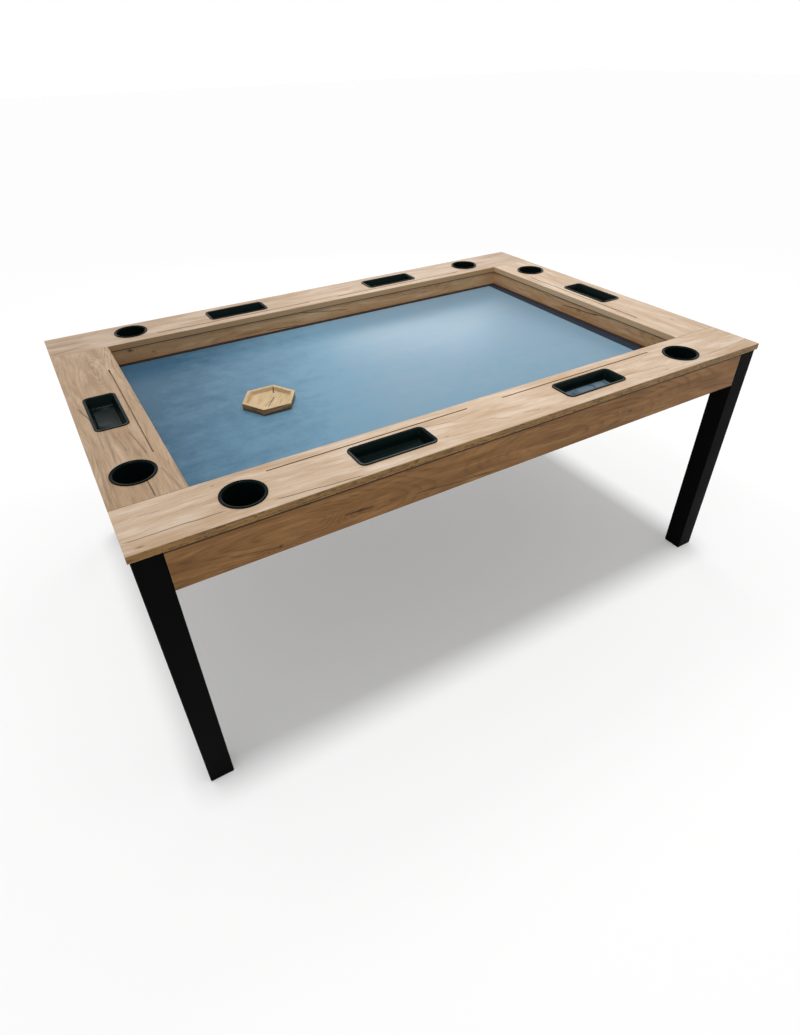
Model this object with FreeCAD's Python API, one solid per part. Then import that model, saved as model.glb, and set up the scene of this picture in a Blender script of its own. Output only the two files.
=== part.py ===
import FreeCAD, Part
import math
import os

from FreeCAD import Vector

# Board game table with a sunken play well, six places to sit, drop-in cups and trays.
# Millimetres, Z up. The origin is on the floor, under the middle of the table.
# X runs along the table and Y across it, away from the front.

# The whole table
table_length = 1780.0
table_depth = 1200.0
table_height = 750.0

# Rails: the flat frame round the play well, of laminated board with banded edges
rail_width = 160.0
rail_thickness = 18.0
rail_arris = 1.0

# Aprons and legs stand a little behind the rails' outer edges
frame_inset = 4.0
apron_thickness = 18.0
apron_height = 100.0
apron_arris = 1.0

# Play well: its walls stand a little behind the rails' inner edges
well_lip = 5.0
well_depth = 66.0
wall_thickness = 18.0
floor_thickness = 18.0

# Play mat, laid loose in the well, a little out of square at its right side
mat_thickness = 3.0
mat_gap_left = 5.0
mat_gap_right_back = 33.0
mat_gap_right_front = 52.0
mat_gap_ends = 15.0

# Card slots: shallow grooves cut in the rails, one for each player
slot_length = 520.0
slot_width = 4.0
slot_depth = 9.0
slot_from_well = 30.0
slot_from_middle = 314.0

# Drop-in cups
cup_rim_radius = 50.0
cup_rim_height = 3.0
cup_mouth_radius = 41.5
cup_wall = 2.0
cup_depth = 62.0
cup_base_thickness = 2.5
cup_from_edge = 74.0
cup_from_end = 246.0
cup_from_end_short = 275.0

# Drop-in trays
tray_length = 200.0
tray_width = 82.0
tray_corner_radius = 16.0
tray_rim_width = 6.0
tray_rim_height = 2.5
tray_wall = 2.0
tray_depth = 25.0
tray_base_thickness = 2.0
tray_from_edge = 75.0
tray_from_middle = 296.0

# Hexagonal dice tray, milled from board, lying on the mat
dice_tray_radius = 76.0
dice_tray_height = 18.0
dice_tray_rim = 9.0
dice_tray_recess = 11.0
dice_tray_cutter_radius = 3.0
dice_tray_arris = 0.8
dice_tray_x = -412.0
dice_tray_y = -50.0
dice_tray_turn_degrees = -1.0

# Legs: square steel tube with a closed top and two welded tabs behind the aprons
leg_side = 60.0
leg_wall = 2.0
leg_corner_bevel = 2.0
leg_top_plate = 3.0
tab_length = 60.0
tab_height = 80.0
tab_thickness = 4.0
tab_corner_cut = 12.0

# Leg caps: moulded inserts that close the tubes and stand on the floor
cap_flange = 4.0
cap_flange_inset = 1.5
cap_plug_height = 20.0
cap_plug_wall = 2.5

# Loose tongues in the rails' butt joints
tongue_length = 100.0
tongue_width = 40.0
tongue_thickness = 4.0
tongue_room = 1.0

# Bearers under the well's floor
bearer_width = 45.0
bearer_height = 30.0
bearer_from_middle = 500.0

# Pressed steel angle brackets
bracket_leg = 28.0
bracket_width = 30.0
bracket_thickness = 2.0
bearer_bracket_width = 24.0

# Clearances
seat_gap = 0.3
cut_out_gap = 0.5
plug_gap = 0.2
groove_gap = 0.05

# How far a cutting tool runs past the face it cuts, and how near two levels count as one
overrun = 2.0
level_tolerance = 0.1

# Levels, from the floor up
rail_bottom = table_height - rail_thickness
mat_top = table_height - well_depth
floor_top = mat_top - mat_thickness
floor_bottom = floor_top - floor_thickness

# Distances in from the rails' outer edge
apron_back = frame_inset + apron_thickness
wall_face = rail_width - well_lip
wall_back = wall_face - wall_thickness

# Half sizes of the play well between its walls
well_half_length = table_length / 2 - wall_face
well_half_depth = table_depth / 2 - wall_face

# The parts of the moulded pieces that pass through the rails
cup_body_radius = cup_mouth_radius + cup_wall
tray_mouth_length = tray_length - 2 * tray_rim_width
tray_mouth_width = tray_width - 2 * tray_rim_width
tray_mouth_radius = tray_corner_radius - tray_rim_width
tray_body_length = tray_mouth_length + 2 * tray_wall
tray_body_width = tray_mouth_width + 2 * tray_wall
tray_body_radius = tray_mouth_radius + tray_wall

# Each side has a frame of its own: x along the side, y inward from the rail's outer edge.
# A side is its turn about Z in degrees and the distance of its outer edge from the middle.
sides = {
    "front": (0, table_depth / 2),
    "back": (180, table_depth / 2),
    "left": (-90, table_length / 2),
    "right": (90, table_length / 2),
}
long_sides = ("front", "back")

up = Vector(0, 0, 1)
middle = Vector(0, 0, 0)


# Shared shapes

def block(x_low, x_high, y_low, y_high, z_low, z_high):
    """Rectangular block between two corners."""
    corner = Vector(x_low, y_low, z_low)
    return Part.makeBox(x_high - x_low, y_high - y_low, z_high - z_low, corner)


def rounded_rectangle(length, width, radius, z):
    """Closed outline of a rectangle with round corners, centred on the Z axis."""
    half_x = length / 2
    half_y = width / 2
    diagonal = radius * (1 - math.sqrt(0.5))
    edges = []
    for turn in range(4):
        along, across = (half_x, half_y) if turn % 2 == 0 else (half_y, half_x)
        start = Vector(along - radius, across, z)
        corner = Vector(along - diagonal, across - diagonal, z)
        end = Vector(along, across - radius, z)
        next_start = Vector(along, radius - across, z)
        side = [Part.Arc(start, corner, end).toShape()]
        if across > radius:
            side.append(Part.LineSegment(end, next_start).toShape())
        for edge in side:
            edge.rotate(middle, up, -90 * turn)
            edges.append(edge)
    return Part.Wire(edges)


def prism(wire, height):
    """Solid of a flat closed outline raised by a height."""
    return Part.Face(wire).extrude(Vector(0, 0, height))


def square_post(side_length, z_low, z_high):
    """Upright square bar, centred on the Z axis."""
    half = side_length / 2
    return block(-half, half, -half, half, z_low, z_high)


def chosen_edges(shape, wanted):
    """The edges whose bounding box passes a test."""
    return [edge for edge in shape.Edges if wanted(edge.BoundBox)]


def rounded(shape, radius, wanted):
    """Round the edges that pass a test."""
    return shape.makeFillet(radius, chosen_edges(shape, wanted))


def bevelled(shape, width, wanted):
    """Bevel the edges that pass a test."""
    return shape.makeChamfer(width, chosen_edges(shape, wanted))


def flat_at(level):
    """Test for an edge that lies in the horizontal plane at a level."""
    def wanted(box):
        return abs(box.ZMin - level) < level_tolerance and abs(box.ZMax - level) < level_tolerance
    return wanted


def mirrored_pair(distance):
    """Two places, alike either side of the middle."""
    return (-distance, distance)


def placed(shape, side):
    """Take a piece from a side's own frame to the table's."""
    turn, reach = sides[side]
    moved = shape.copy()
    moved.translate(Vector(0, -reach, 0))
    moved.rotate(middle, up, turn)
    return moved


def shifted(shape, x, y, z):
    """Copy of a shape, moved."""
    moved = shape.copy()
    moved.translate(Vector(x, y, z))
    return moved


def half_span(side):
    """Half the length of the table along a side."""
    return table_length / 2 if side in long_sides else table_depth / 2


# Layout along the sides

def cup_places(side):
    """Where the cups' centres are along a side."""
    if side in long_sides:
        return mirrored_pair(table_length / 2 - cup_from_end)
    return (table_depth / 2 - cup_from_end_short,)


def tray_places(side):
    """Where the trays' centres are along a side."""
    return mirrored_pair(tray_from_middle) if side in long_sides else (0,)


def slot_places(side):
    """Where the card slots' centres are along a side."""
    return mirrored_pair(slot_from_middle) if side in long_sides else (0,)


def tray_end(side):
    """Distance from the middle of a side to the far end of its tray's cut-out."""
    return max(tray_places(side)) + tray_body_length / 2 + cut_out_gap


def cup_reach():
    """Radius of a cup's hole in the rail."""
    return cup_body_radius + cut_out_gap


def block_places(side):
    """Middles of the spacer blocks: in line with the well's walls, and between cup and tray."""
    in_line = half_span(side) - wall_back - wall_thickness / 2
    between = (tray_end(side) + max(cup_places(side)) - cup_reach()) / 2
    places = mirrored_pair(in_line) + mirrored_pair(between)
    return places + (0,) if side in long_sides else places


def bracket_places(side):
    """Middles of the rail brackets, clear of cups, trays and blocks."""
    in_line = half_span(side) - wall_back - wall_thickness
    outer = (max(cup_places(side)) + cup_reach() + in_line) / 2
    if side in long_sides:
        inner = (tray_from_middle - tray_body_length / 2 - cut_out_gap) / 2
    else:
        inner = (tray_end(side) + max(block_places(side)[2:]) - wall_thickness / 2) / 2
    return mirrored_pair(outer) + mirrored_pair(inner)


# Rails

def tongue(length, width, thickness):
    """Flat tongue, or the groove for one, along x and centred on the joint in a long side's frame."""
    level = table_height - rail_thickness / 2
    return block(-length / 2, length / 2, rail_width - width / 2, rail_width + width / 2,
                 level - thickness / 2, level + thickness / 2)


def at_joints(shape):
    """Copies of a piece at the four butt joints between the rails, in the table's frame."""
    joint = table_length / 2 - rail_width / 2
    return [placed(shifted(shape, x, 0, 0), side) for side in long_sides for x in mirrored_pair(joint)]


def rail_tongues():
    """The loose tongues of the four joints."""
    return Part.makeCompound(at_joints(tongue(tongue_length, tongue_width, tongue_thickness)))


def tongue_grooves():
    """Cutters for the grooves in both rails of each joint."""
    thickness = tongue_thickness + 2 * groove_gap
    return at_joints(tongue(tongue_length + 2 * tongue_room, tongue_width + 2 * tongue_room, thickness))


def rail_blank(side):
    """Rail board with its long edges eased: long rails run through, short ones butt between."""
    half = half_span(side) if side in long_sides else half_span(side) - rail_width
    board = block(-half, half, 0, rail_width, rail_bottom, table_height)
    return bevelled(board, rail_arris, lambda box: box.XLength > half)


def card_slot(place):
    """Cutter for one groove."""
    centre = rail_width - slot_from_well
    return block(place - slot_length / 2, place + slot_length / 2, centre - slot_width / 2,
                 centre + slot_width / 2, table_height - slot_depth, table_height + overrun)


def tray_cut_out(place):
    """Cutter for the opening that a tray drops through."""
    length = tray_body_length + 2 * cut_out_gap
    width = tray_body_width + 2 * cut_out_gap
    radius = tray_body_radius + cut_out_gap
    outline = rounded_rectangle(length, width, radius, rail_bottom - overrun)
    cutter = prism(outline, rail_thickness + 2 * overrun)
    return shifted(cutter, place, tray_from_edge, 0)


def cup_hole(place):
    """Cutter for the hole that a cup drops through."""
    low = Vector(place, cup_from_edge, rail_bottom - overrun)
    return Part.makeCylinder(cup_reach(), rail_thickness + 2 * overrun, low)


def rail(side):
    """One rail with its holes, openings, card slots and tongue grooves, in the table's frame."""
    cutters = [cup_hole(place) for place in cup_places(side)]
    cutters += [tray_cut_out(place) for place in tray_places(side)]
    cutters += [card_slot(place) for place in slot_places(side)]
    board = placed(rail_blank(side).cut(cutters), side)
    return board.cut(tongue_grooves())


# Aprons, well and floor

def apron(side):
    """Apron board between two legs, its lower edges eased."""
    half = half_span(side) - frame_inset - leg_side
    bottom = rail_bottom - apron_height
    board = block(-half, half, frame_inset, apron_back, bottom, rail_bottom)
    eased = bevelled(board, apron_arris, lambda box: box.XLength > half and box.ZMax < rail_bottom)
    return placed(eased, side)


def well_wall(side):
    """Inner wall under a rail: long walls run through, short ones butt between."""
    half = half_span(side) - wall_face
    if side in long_sides:
        half += wall_thickness
    return placed(block(-half, half, wall_back, wall_face, floor_top, rail_bottom), side)


def game_floor():
    """Floor board of the well, under the walls."""
    half_x = well_half_length + wall_thickness
    half_y = well_half_depth + wall_thickness
    return block(-half_x, half_x, -half_y, half_y, floor_bottom, floor_top)


def spacer_blocks(side):
    """Blocks that hold the well's wall and the apron apart under a rail."""
    blocks = []
    for place in block_places(side):
        low = place - wall_thickness / 2
        high = place + wall_thickness / 2
        piece = block(low, high, apron_back, wall_back, floor_top, rail_bottom)
        blocks.append(placed(piece, side))
    return Part.makeCompound(blocks)


def floor_bearer(x):
    """Batten under the floor, from apron to apron."""
    half_x = bearer_width / 2
    half_y = table_depth / 2 - apron_back
    return block(x - half_x, x + half_x, -half_y, half_y, floor_bottom - bearer_height, floor_bottom)


def play_mat():
    """Mat on the floor, its right side a little out of square."""
    left = -well_half_length + mat_gap_left
    right_back = well_half_length - mat_gap_right_back
    right_front = well_half_length - mat_gap_right_front
    half_y = well_half_depth - mat_gap_ends
    corners = [(left, -half_y), (right_front, -half_y), (right_back, half_y), (left, half_y)]
    points = [Vector(x, y, floor_top) for x, y in corners]
    return prism(Part.makePolygon(points + points[:1]), mat_thickness)


# Angle brackets

def angle_bracket(width):
    """Angle bent along X: one leg on the plane y = 0, one on z = 0, both outward from the corner."""
    upright = block(-width / 2, width / 2, 0, bracket_thickness, -bracket_leg, 0)
    flat = block(-width / 2, width / 2, 0, bracket_leg, -bracket_thickness, 0)
    return upright.fuse(flat).removeSplitter()


def rail_brackets():
    """Brackets in the corner between each apron's back and the rail above it."""
    angle = angle_bracket(bracket_width)
    pieces = []
    for side in sides:
        for place in bracket_places(side):
            pieces.append(placed(shifted(angle, place, apron_back, rail_bottom), side))
    return Part.makeCompound(pieces)


def bearer_brackets():
    """Brackets between the bearers' ends and the long aprons, one each side of each end."""
    angle = angle_bracket(bearer_bracket_width)
    level = floor_bottom - bearer_height / 2
    pieces = []
    for side in long_sides:
        for bearer_x in bearer_places():
            for sign in (-1, 1):
                turned = angle.copy()
                turned.rotate(middle, Vector(0, 1, 0), sign * 90)
                x = bearer_x - sign * bearer_width / 2
                pieces.append(placed(shifted(turned, x, apron_back, level), side))
    return Part.makeCompound(pieces)


def bearer_places():
    """Where the bearers are along the table."""
    return (-bearer_from_middle, 0, bearer_from_middle)


# Legs, in a frame of their own: the outer corner at x = y = 0, the table inward along x and y

def swapped(shape):
    """Mirror image of a piece across the leg's diagonal."""
    return shape.mirror(middle, Vector(1, -1, 0))


def at_corners(shape):
    """A leg's piece, copied to the four corners of the table: name and shape."""
    x = -table_length / 2 + frame_inset
    y = -table_depth / 2 + frame_inset
    front_left = shifted(shape, x, y, 0)
    front_right = front_left.mirror(middle, Vector(1, 0, 0))
    return {
        "front_left": front_left,
        "front_right": front_right,
        "back_left": front_left.mirror(middle, Vector(0, 1, 0)),
        "back_right": front_right.mirror(middle, Vector(0, 1, 0)),
    }


def leg_tab():
    """Welded tab that lies on the back of the apron along x, with its far corners cut."""
    centre = rail_bottom - apron_height / 2
    plate = block(leg_side - leg_wall / 2, leg_side + tab_length,
                  apron_thickness, apron_thickness + tab_thickness,
                  centre - tab_height / 2, centre + tab_height / 2)
    return bevelled(plate, tab_corner_cut, lambda box: box.XMin > leg_side and box.ZLength < tab_thickness)


def leg():
    """Square tube with a plate across its top and a tab towards each apron."""
    outer = square_post(leg_side, cap_flange, rail_bottom)
    outer = bevelled(outer, leg_corner_bevel, lambda box: box.ZLength > leg_side)
    inner = square_post(leg_side - 2 * leg_wall, cap_flange, rail_bottom - leg_top_plate)
    tube = shifted(outer.cut(inner), leg_side / 2, leg_side / 2, 0)
    tab = leg_tab()
    return tube.fuse([tab, swapped(tab)]).removeSplitter()


def leg_cap():
    """Insert in the foot of a leg: a flange under the tube's wall, and a hollow plug inside it."""
    flange = square_post(leg_side - 2 * cap_flange_inset, 0, cap_flange)
    plug_side = leg_side - 2 * leg_wall - 2 * plug_gap
    top = cap_flange + cap_plug_height
    plug = square_post(plug_side, cap_flange, top)
    hollow = square_post(plug_side - 2 * cap_plug_wall, cap_flange, top + overrun)
    cap = flange.fuse(plug.cut(hollow)).removeSplitter()
    return shifted(cap, leg_side / 2, leg_side / 2, 0)


# Drop-in cup and tray, standing in their holes with the rail's top at z = 0

def drop_in_cup():
    """Cup: a flat rim round a straight wall and a flat floor."""
    body = Part.makeCylinder(cup_body_radius, cup_depth + seat_gap, Vector(0, 0, -cup_depth))
    rim = Part.makeCylinder(cup_rim_radius, cup_rim_height, Vector(0, 0, seat_gap))
    floor = -cup_depth + cup_base_thickness
    height = cup_rim_height + seat_gap - floor
    hollow = Part.makeCylinder(cup_mouth_radius, height, Vector(0, 0, floor))
    return body.fuse(rim).cut(hollow)


def drop_in_tray():
    """Moulded tray: a narrow flat rim round straight walls with round corners, and a flat floor."""
    bottom = -tray_depth - tray_base_thickness
    outline = rounded_rectangle(tray_body_length, tray_body_width, tray_body_radius, bottom)
    rim = rounded_rectangle(tray_length, tray_width, tray_corner_radius, seat_gap)
    mouth = rounded_rectangle(tray_mouth_length, tray_mouth_width, tray_mouth_radius, -tray_depth)
    body = prism(outline, seat_gap - bottom).fuse(prism(rim, tray_rim_height))
    return body.cut(prism(mouth, tray_depth + seat_gap + tray_rim_height))


def drop_ins(shape, places, from_edge):
    """Copies of a cup or tray in the rails of all sides: name of the place and shape."""
    copies = {}
    for side in sides:
        ends = ("left", "right") if side == "front" else ("right", "left")
        spots = places(side)
        for index, place in enumerate(spots):
            name = side if len(spots) == 1 else side + "_" + ends[index]
            copies[name] = placed(shifted(shape, place, from_edge, table_height), side)
    return copies


# Dice tray

def hexagon(radius, z):
    """Outline of a hexagon with two corners on the X axis."""
    points = []
    for step in range(7):
        angle = math.radians(60 * step)
        points.append(Vector(radius * math.cos(angle), radius * math.sin(angle), z))
    return Part.makePolygon(points)


def dice_tray():
    """Hexagonal tray milled from board: a flat rim round a recess with cutter-round corners."""
    body = prism(hexagon(dice_tray_radius, 0), dice_tray_height)
    body = bevelled(body, dice_tray_arris, flat_at(dice_tray_height))
    inner_radius = dice_tray_radius - dice_tray_rim / math.cos(math.radians(30))
    floor = dice_tray_height - dice_tray_recess
    recess = prism(hexagon(inner_radius, floor), dice_tray_recess + overrun)
    recess = rounded(recess, dice_tray_cutter_radius, lambda box: box.ZLength > dice_tray_recess)
    tray = body.cut(recess)
    tray.rotate(middle, up, dice_tray_turn_degrees)
    return shifted(tray, dice_tray_x, dice_tray_y, mat_top + seat_gap)


# Writing the pieces

def whole_table():
    """Every piece of the table by the name of its node."""
    pieces = {}
    for side in sides:
        pieces["rail_" + side] = rail(side)
        pieces["apron_" + side] = apron(side)
        pieces["well_wall_" + side] = well_wall(side)
        pieces["spacer_blocks_" + side] = spacer_blocks(side)
    for corner, shape in at_corners(leg()).items():
        pieces["leg_" + corner] = shape
    for corner, shape in at_corners(leg_cap()).items():
        pieces["leg_cap_" + corner] = shape
    for name, x in zip(("left", "middle", "right"), bearer_places()):
        pieces["floor_bearer_" + name] = floor_bearer(x)
    pieces["game_floor"] = game_floor()
    pieces["play_mat"] = play_mat()
    pieces["rail_tongues"] = rail_tongues()
    pieces["rail_brackets"] = rail_brackets()
    pieces["bearer_brackets"] = bearer_brackets()
    for place, shape in drop_ins(drop_in_cup(), cup_places, cup_from_edge).items():
        pieces["cup_" + place] = shape
    for place, shape in drop_ins(drop_in_tray(), tray_places, tray_from_edge).items():
        pieces["tray_" + place] = shape
    pieces["dice_tray"] = dice_tray()
    return pieces


def main():
    """Write one STEP file per node."""
    os.makedirs("parts", exist_ok=True)
    for name, shape in whole_table().items():
        shape.exportStep("parts/" + name + ".step")
        print(name, "solids", len(shape.Solids), "valid", shape.isValid(), "volume", round(shape.Volume))


main()
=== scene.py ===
"""Looks of a board game table.

Pale oak laminate rails lie round a sunken play well with a blue mat. Black cups and trays hang in
the rails, a hexagonal oak dice tray lies on the mat, and four square black legs carry it all.
Lengths are in metres where nothing else is said. X runs along the table, Y away from the front.
"""

from __future__ import annotations

import logging
import math
from dataclasses import dataclass, replace
from enum import Enum

import bmesh
import bpy
from mathutils import Matrix, Vector

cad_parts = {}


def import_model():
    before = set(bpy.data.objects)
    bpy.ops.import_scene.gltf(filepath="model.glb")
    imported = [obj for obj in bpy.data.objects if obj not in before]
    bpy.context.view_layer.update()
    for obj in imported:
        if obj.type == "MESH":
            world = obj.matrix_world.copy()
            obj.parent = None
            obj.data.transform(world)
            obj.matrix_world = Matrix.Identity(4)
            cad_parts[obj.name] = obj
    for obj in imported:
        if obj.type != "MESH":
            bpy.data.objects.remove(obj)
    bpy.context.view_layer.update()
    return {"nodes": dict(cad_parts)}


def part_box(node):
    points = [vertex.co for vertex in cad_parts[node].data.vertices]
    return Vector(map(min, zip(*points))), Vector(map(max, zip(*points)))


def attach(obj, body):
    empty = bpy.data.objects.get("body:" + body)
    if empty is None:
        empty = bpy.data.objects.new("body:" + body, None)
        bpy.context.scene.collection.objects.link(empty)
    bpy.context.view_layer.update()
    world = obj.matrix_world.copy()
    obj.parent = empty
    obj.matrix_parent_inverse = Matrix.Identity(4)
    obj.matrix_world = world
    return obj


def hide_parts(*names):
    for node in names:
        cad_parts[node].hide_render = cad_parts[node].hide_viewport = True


LOG = logging.getLogger("game_table")
MM = 0.001

# Points of a mesh that lie nearer to each other than this are one point
WELD = 0.001 * MM

# Inputs of the Mix node when it mixes colours. Those of a MapRange node are, in their order, a
# value, the least and the greatest that it starts at, and what these two become.
FACTOR, FIRST, SECOND = 0, 6, 7

Material = bpy.types.Material
Tree = bpy.types.NodeTree
Node = bpy.types.Node
Socket = bpy.types.NodeSocket
Piece = bpy.types.Object
Mesh = bmesh.types.BMesh
Face = bmesh.types.BMFace
Edge = bmesh.types.BMEdge
Pair = tuple[float, float]
Triple = tuple[float, float, float]
Places = list[tuple[Vector, Vector]]


def linear(hex_colour: str) -> tuple[float, float, float, float]:
    """Turn an sRGB hex colour to linear light.

    Args:
        hex_colour: six hex digits, with or without a leading hash.

    Returns:
        Red, green, blue and an alpha of one.
    """
    digits = hex_colour.lstrip("#")
    parts = [int(digits[i:i + 2], 16) / 255 for i in (0, 2, 4)]
    light = [c / 12.92 if c <= 0.04045 else ((c + 0.055) / 1.055) ** 2.4 for c in parts]
    return (*light, 1.0)


def plug(tree: Tree, node: Node, links: dict | list | tuple) -> None:
    """Fill a node's inputs.

    Args:
        tree: the node tree.
        node: the node.
        links: what goes into each input, by its name or number, or in the inputs' order: a value,
            a hex colour, a socket, or a node, whose first output in use is then taken.
    """
    named = links if isinstance(links, dict) else dict(enumerate(links))
    for name, value in named.items():
        if isinstance(value, str):
            value = linear(value)
        if isinstance(value, bpy.types.Node):
            value = next(output for output in value.outputs if output.enabled)
        if isinstance(value, bpy.types.NodeSocket):
            tree.links.new(value, node.inputs[name])
        else:
            node.inputs[name].default_value = value


def add(tree: Tree, kind: str, links: dict | list | tuple = (), stops: list | tuple = (),
        **settings: object) -> Node:
    """Add a node with its settings and links.

    Args:
        tree: the material's or world's node tree.
        kind: the node's type name, without the ShaderNode that it starts with.
        links: what goes into its inputs, as plug takes it.
        stops: the positions in a colour ramp, each with a hex colour or a grey from 0 to 1.
        settings: the node's own properties.

    Returns:
        The new node.
    """
    node = tree.nodes.new(f"ShaderNode{kind}")
    for name, value in settings.items():
        setattr(node, name, value)
    plug(tree, node, links)
    if stops:
        elements = node.color_ramp.elements
        while len(elements) < len(stops):
            elements.new(1.0)
        for element, (position, tone) in zip(elements, stops):
            element.position = position
            element.color = linear(tone) if isinstance(tone, str) else (tone, tone, tone, 1.0)
    return node


def new_tree(owner: Material | bpy.types.World) -> Tree:
    """Give a material or a world an empty node tree.

    Args:
        owner: the material or the world.

    Returns:
        Its node tree.
    """
    owner.use_nodes = True
    owner.node_tree.nodes.clear()
    return owner.node_tree


def new_material(name: str) -> tuple[Material, Tree, Node, bpy.types.bpy_prop_collection]:
    """Make a material with only a Principled shader and its output.

    Args:
        name: the finish's name.

    Returns:
        The material, its node tree, the shader, and the sockets that say where on the object a
        point lies and which way it faces.
    """
    material = bpy.data.materials.new(name)
    tree = new_tree(material)
    shader = add(tree, "BsdfPrincipled")
    add(tree, "OutputMaterial", (shader,))
    return material, tree, shader, add(tree, "TexCoord").outputs


@dataclass(frozen=True)
class Coat:
    """A colour laid over others, by a pattern: where it begins, is full, and the most it hides."""

    colour: str | Node
    pattern: Node
    begins: float = 0.0
    full: float = 1.0
    most: float = 1.0


def laid_over(tree: Tree, ground: str | Node, coats: list[Coat]) -> str | Node:
    """Lay coats of colour over a ground, each where its pattern is strong.

    Args:
        tree: the material's node tree.
        ground: the colour under them all.
        coats: the coats, the lowest first.

    Returns:
        The colour that is seen.
    """
    for coat in coats:
        cover = add(tree, "MapRange", (coat.pattern, coat.begins, coat.full, 0.0, coat.most))
        ground = add(tree, "Mix", {FACTOR: cover, FIRST: ground, SECOND: coat.colour},
                     data_type="RGBA")
    return ground


def joined(tree: Tree, masks: list[Node | Socket], operation: str) -> Node | Socket | None:
    """Join masks to one.

    Args:
        tree: the material's node tree.
        masks: the masks.
        operation: MAXIMUM keeps the strongest at each point, MULTIPLY keeps what they share.

    Returns:
        The joined mask, or None where there is no mask to join.
    """
    result = masks[0] if masks else None
    for mask in masks[1:]:
        result = add(tree, "Math", (result, mask), operation=operation)
    return result


def drawn_out(tree: Tree, point: Node | Socket, size: Triple, detail: float, roughness: float,
              start: Triple = (0.0, 0.0, 0.0)) -> Node:
    """Add a pattern whose features are longer one way than another.

    Args:
        tree: the material's node tree.
        point: the point that it is taken at.
        size: a feature's length along each axis.
        detail: octaves of finer pattern.
        roughness: how strong those are.
        start: where in the pattern the origin lies.

    Returns:
        The pattern's node, which runs from 0 to 1.
    """
    moved = add(tree, "Mapping", {
        "Vector": point, "Location": start, "Scale": [1 / length for length in size],
    })
    return add(tree, "TexNoise", {
        "Vector": moved, "Scale": 1.0, "Detail": detail, "Roughness": roughness,
    })


class Grain(Enum):
    """The way a board's grain runs, and its face: the axes along it, across its face, into it."""

    FLAT_ALONG = ("X", "Y", "Z")
    FLAT_ACROSS = ("Y", "X", "Z")
    UPRIGHT_ALONG = ("X", "Z", "Y")
    UPRIGHT_ACROSS = ("Y", "Z", "X")


def board_point(tree: Tree, place: Socket, grain: Grain) -> Node:
    """Give the point on a board: along its grain, across its face and into it."""
    axes = add(tree, "SeparateXYZ", (place,))
    return add(tree, "CombineXYZ", [axes.outputs[axis] for axis in grain.value])


@dataclass(frozen=True)
class Crack:
    """A dark split in the grain, from one point of a board's face to another, in mm."""

    from_x: float
    from_y: float
    to_x: float
    to_y: float
    width: float
    depth: float
    full_share: float = 0.85

    def line(self, tree: Tree, point: Node | Socket, wander: Node) -> Node:
        """Add a thin line that wanders a little and runs out at both ends.

        Args:
            tree: the material's node tree.
            point: the point on the face.
            wander: how far the line strays aside, which varies along it.

        Returns:
            The line's node: the crack's depth in its middle and nothing off it.
        """
        start = Vector((self.from_x, self.from_y)) * MM
        run = Vector((self.to_x, self.to_y)) * MM - start
        ahead = run.normalized()
        half = run.length / 2
        offset = add(tree, "VectorMath", (point, (*start, 0.0)), operation="SUBTRACT")
        gone = add(tree, "VectorMath", (offset, (*ahead, 0.0)), operation="DOT_PRODUCT")
        aside = add(tree, "VectorMath", (offset, (-ahead.y, ahead.x, 0.0)),
                    operation="DOT_PRODUCT")
        strayed = add(tree, "Math", (aside, wander), operation="ADD")
        apart = add(tree, "Math", (strayed,), operation="ABSOLUTE")
        line = add(tree, "MapRange", (apart, 0.0, self.width * MM, self.depth, 0.0),
                   interpolation_type="SMOOTHSTEP")
        from_middle = add(tree, "Math", (gone, half), operation="SUBTRACT")
        far = add(tree, "Math", (from_middle,), operation="ABSOLUTE")
        ends = add(tree, "MapRange", (far, half * self.full_share, half, 1.0, 0.0))
        return joined(tree, [line, ends], "MULTIPLY")


@dataclass(frozen=True)
class Knot:
    """A knot: its place on a board's face, half length and half width, in mm, and how dark it is.

    Rings bend round it as far out as its swirl, which is counted in its half sizes.
    """

    along: float
    across: float
    long: float
    wide: float
    darkness: float = 0.6
    swirl: float = 4.0

    def hill(self, tree: Tree, point: Node, reach: float) -> Node:
        """Add a soft hill.

        Args:
            tree: the material's node tree.
            point: the point on the face.
            reach: how far out it goes, counted in half sizes.

        Returns:
            The hill's node: one at the knot's middle and nothing past its reach.
        """
        middle = (self.along * MM, self.across * MM, 0.0)
        stretch = (1 / (self.long * MM), 1 / (self.wide * MM), 0.0)
        offset = add(tree, "VectorMath", (point, middle), operation="SUBTRACT")
        scaled = add(tree, "VectorMath", (offset, stretch), operation="MULTIPLY")
        distance = add(tree, "VectorMath", (scaled,), operation="LENGTH")
        return add(tree, "MapRange", (distance, 0.0, reach, 1.0, 0.0),
                   interpolation_type="SMOOTHSTEP")


class Streaks(Enum):
    """Patterns drawn out along the grain: a feature's length and width in mm, octaves, shift.

    The shift moves them against each other. Pores and fibre are drawn wider than real ones, which
    would be too fine to show.
    """

    SLOW_BEND = (480, 150, 1, 2)
    QUICK_BEND = (120, 60, 2, 8)
    LOG_DEPTH = (700, 260, 1, 4)
    RING_BEND = (210, 45, 2, 9)
    RING_FADE = (300, 45, 3, 14)
    RING_BREAK = (60, 5, 3, 51)
    SMUDGE = (95, 4.5, 3, 21)
    SMUDGE_PATCH = (220, 60, 1, 27)
    BLOTCH = (230, 42, 5, 1)
    BLEACH = (150, 26, 5, 11)
    BAND = (210, 9, 3, 17)
    SLANT = (46, 3.6, 3, 23)
    PORES = (22, 1.3, 1, 37)
    FIBRE = (75, 2.6, 3, 6)
    CRACK_WANDER = (110, 90, 3, 33)
    EDGE_STREAK = (90, 5, 3, 41)
    EDGE_TICKS = (13, 3.2, 2, 47)


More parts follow.
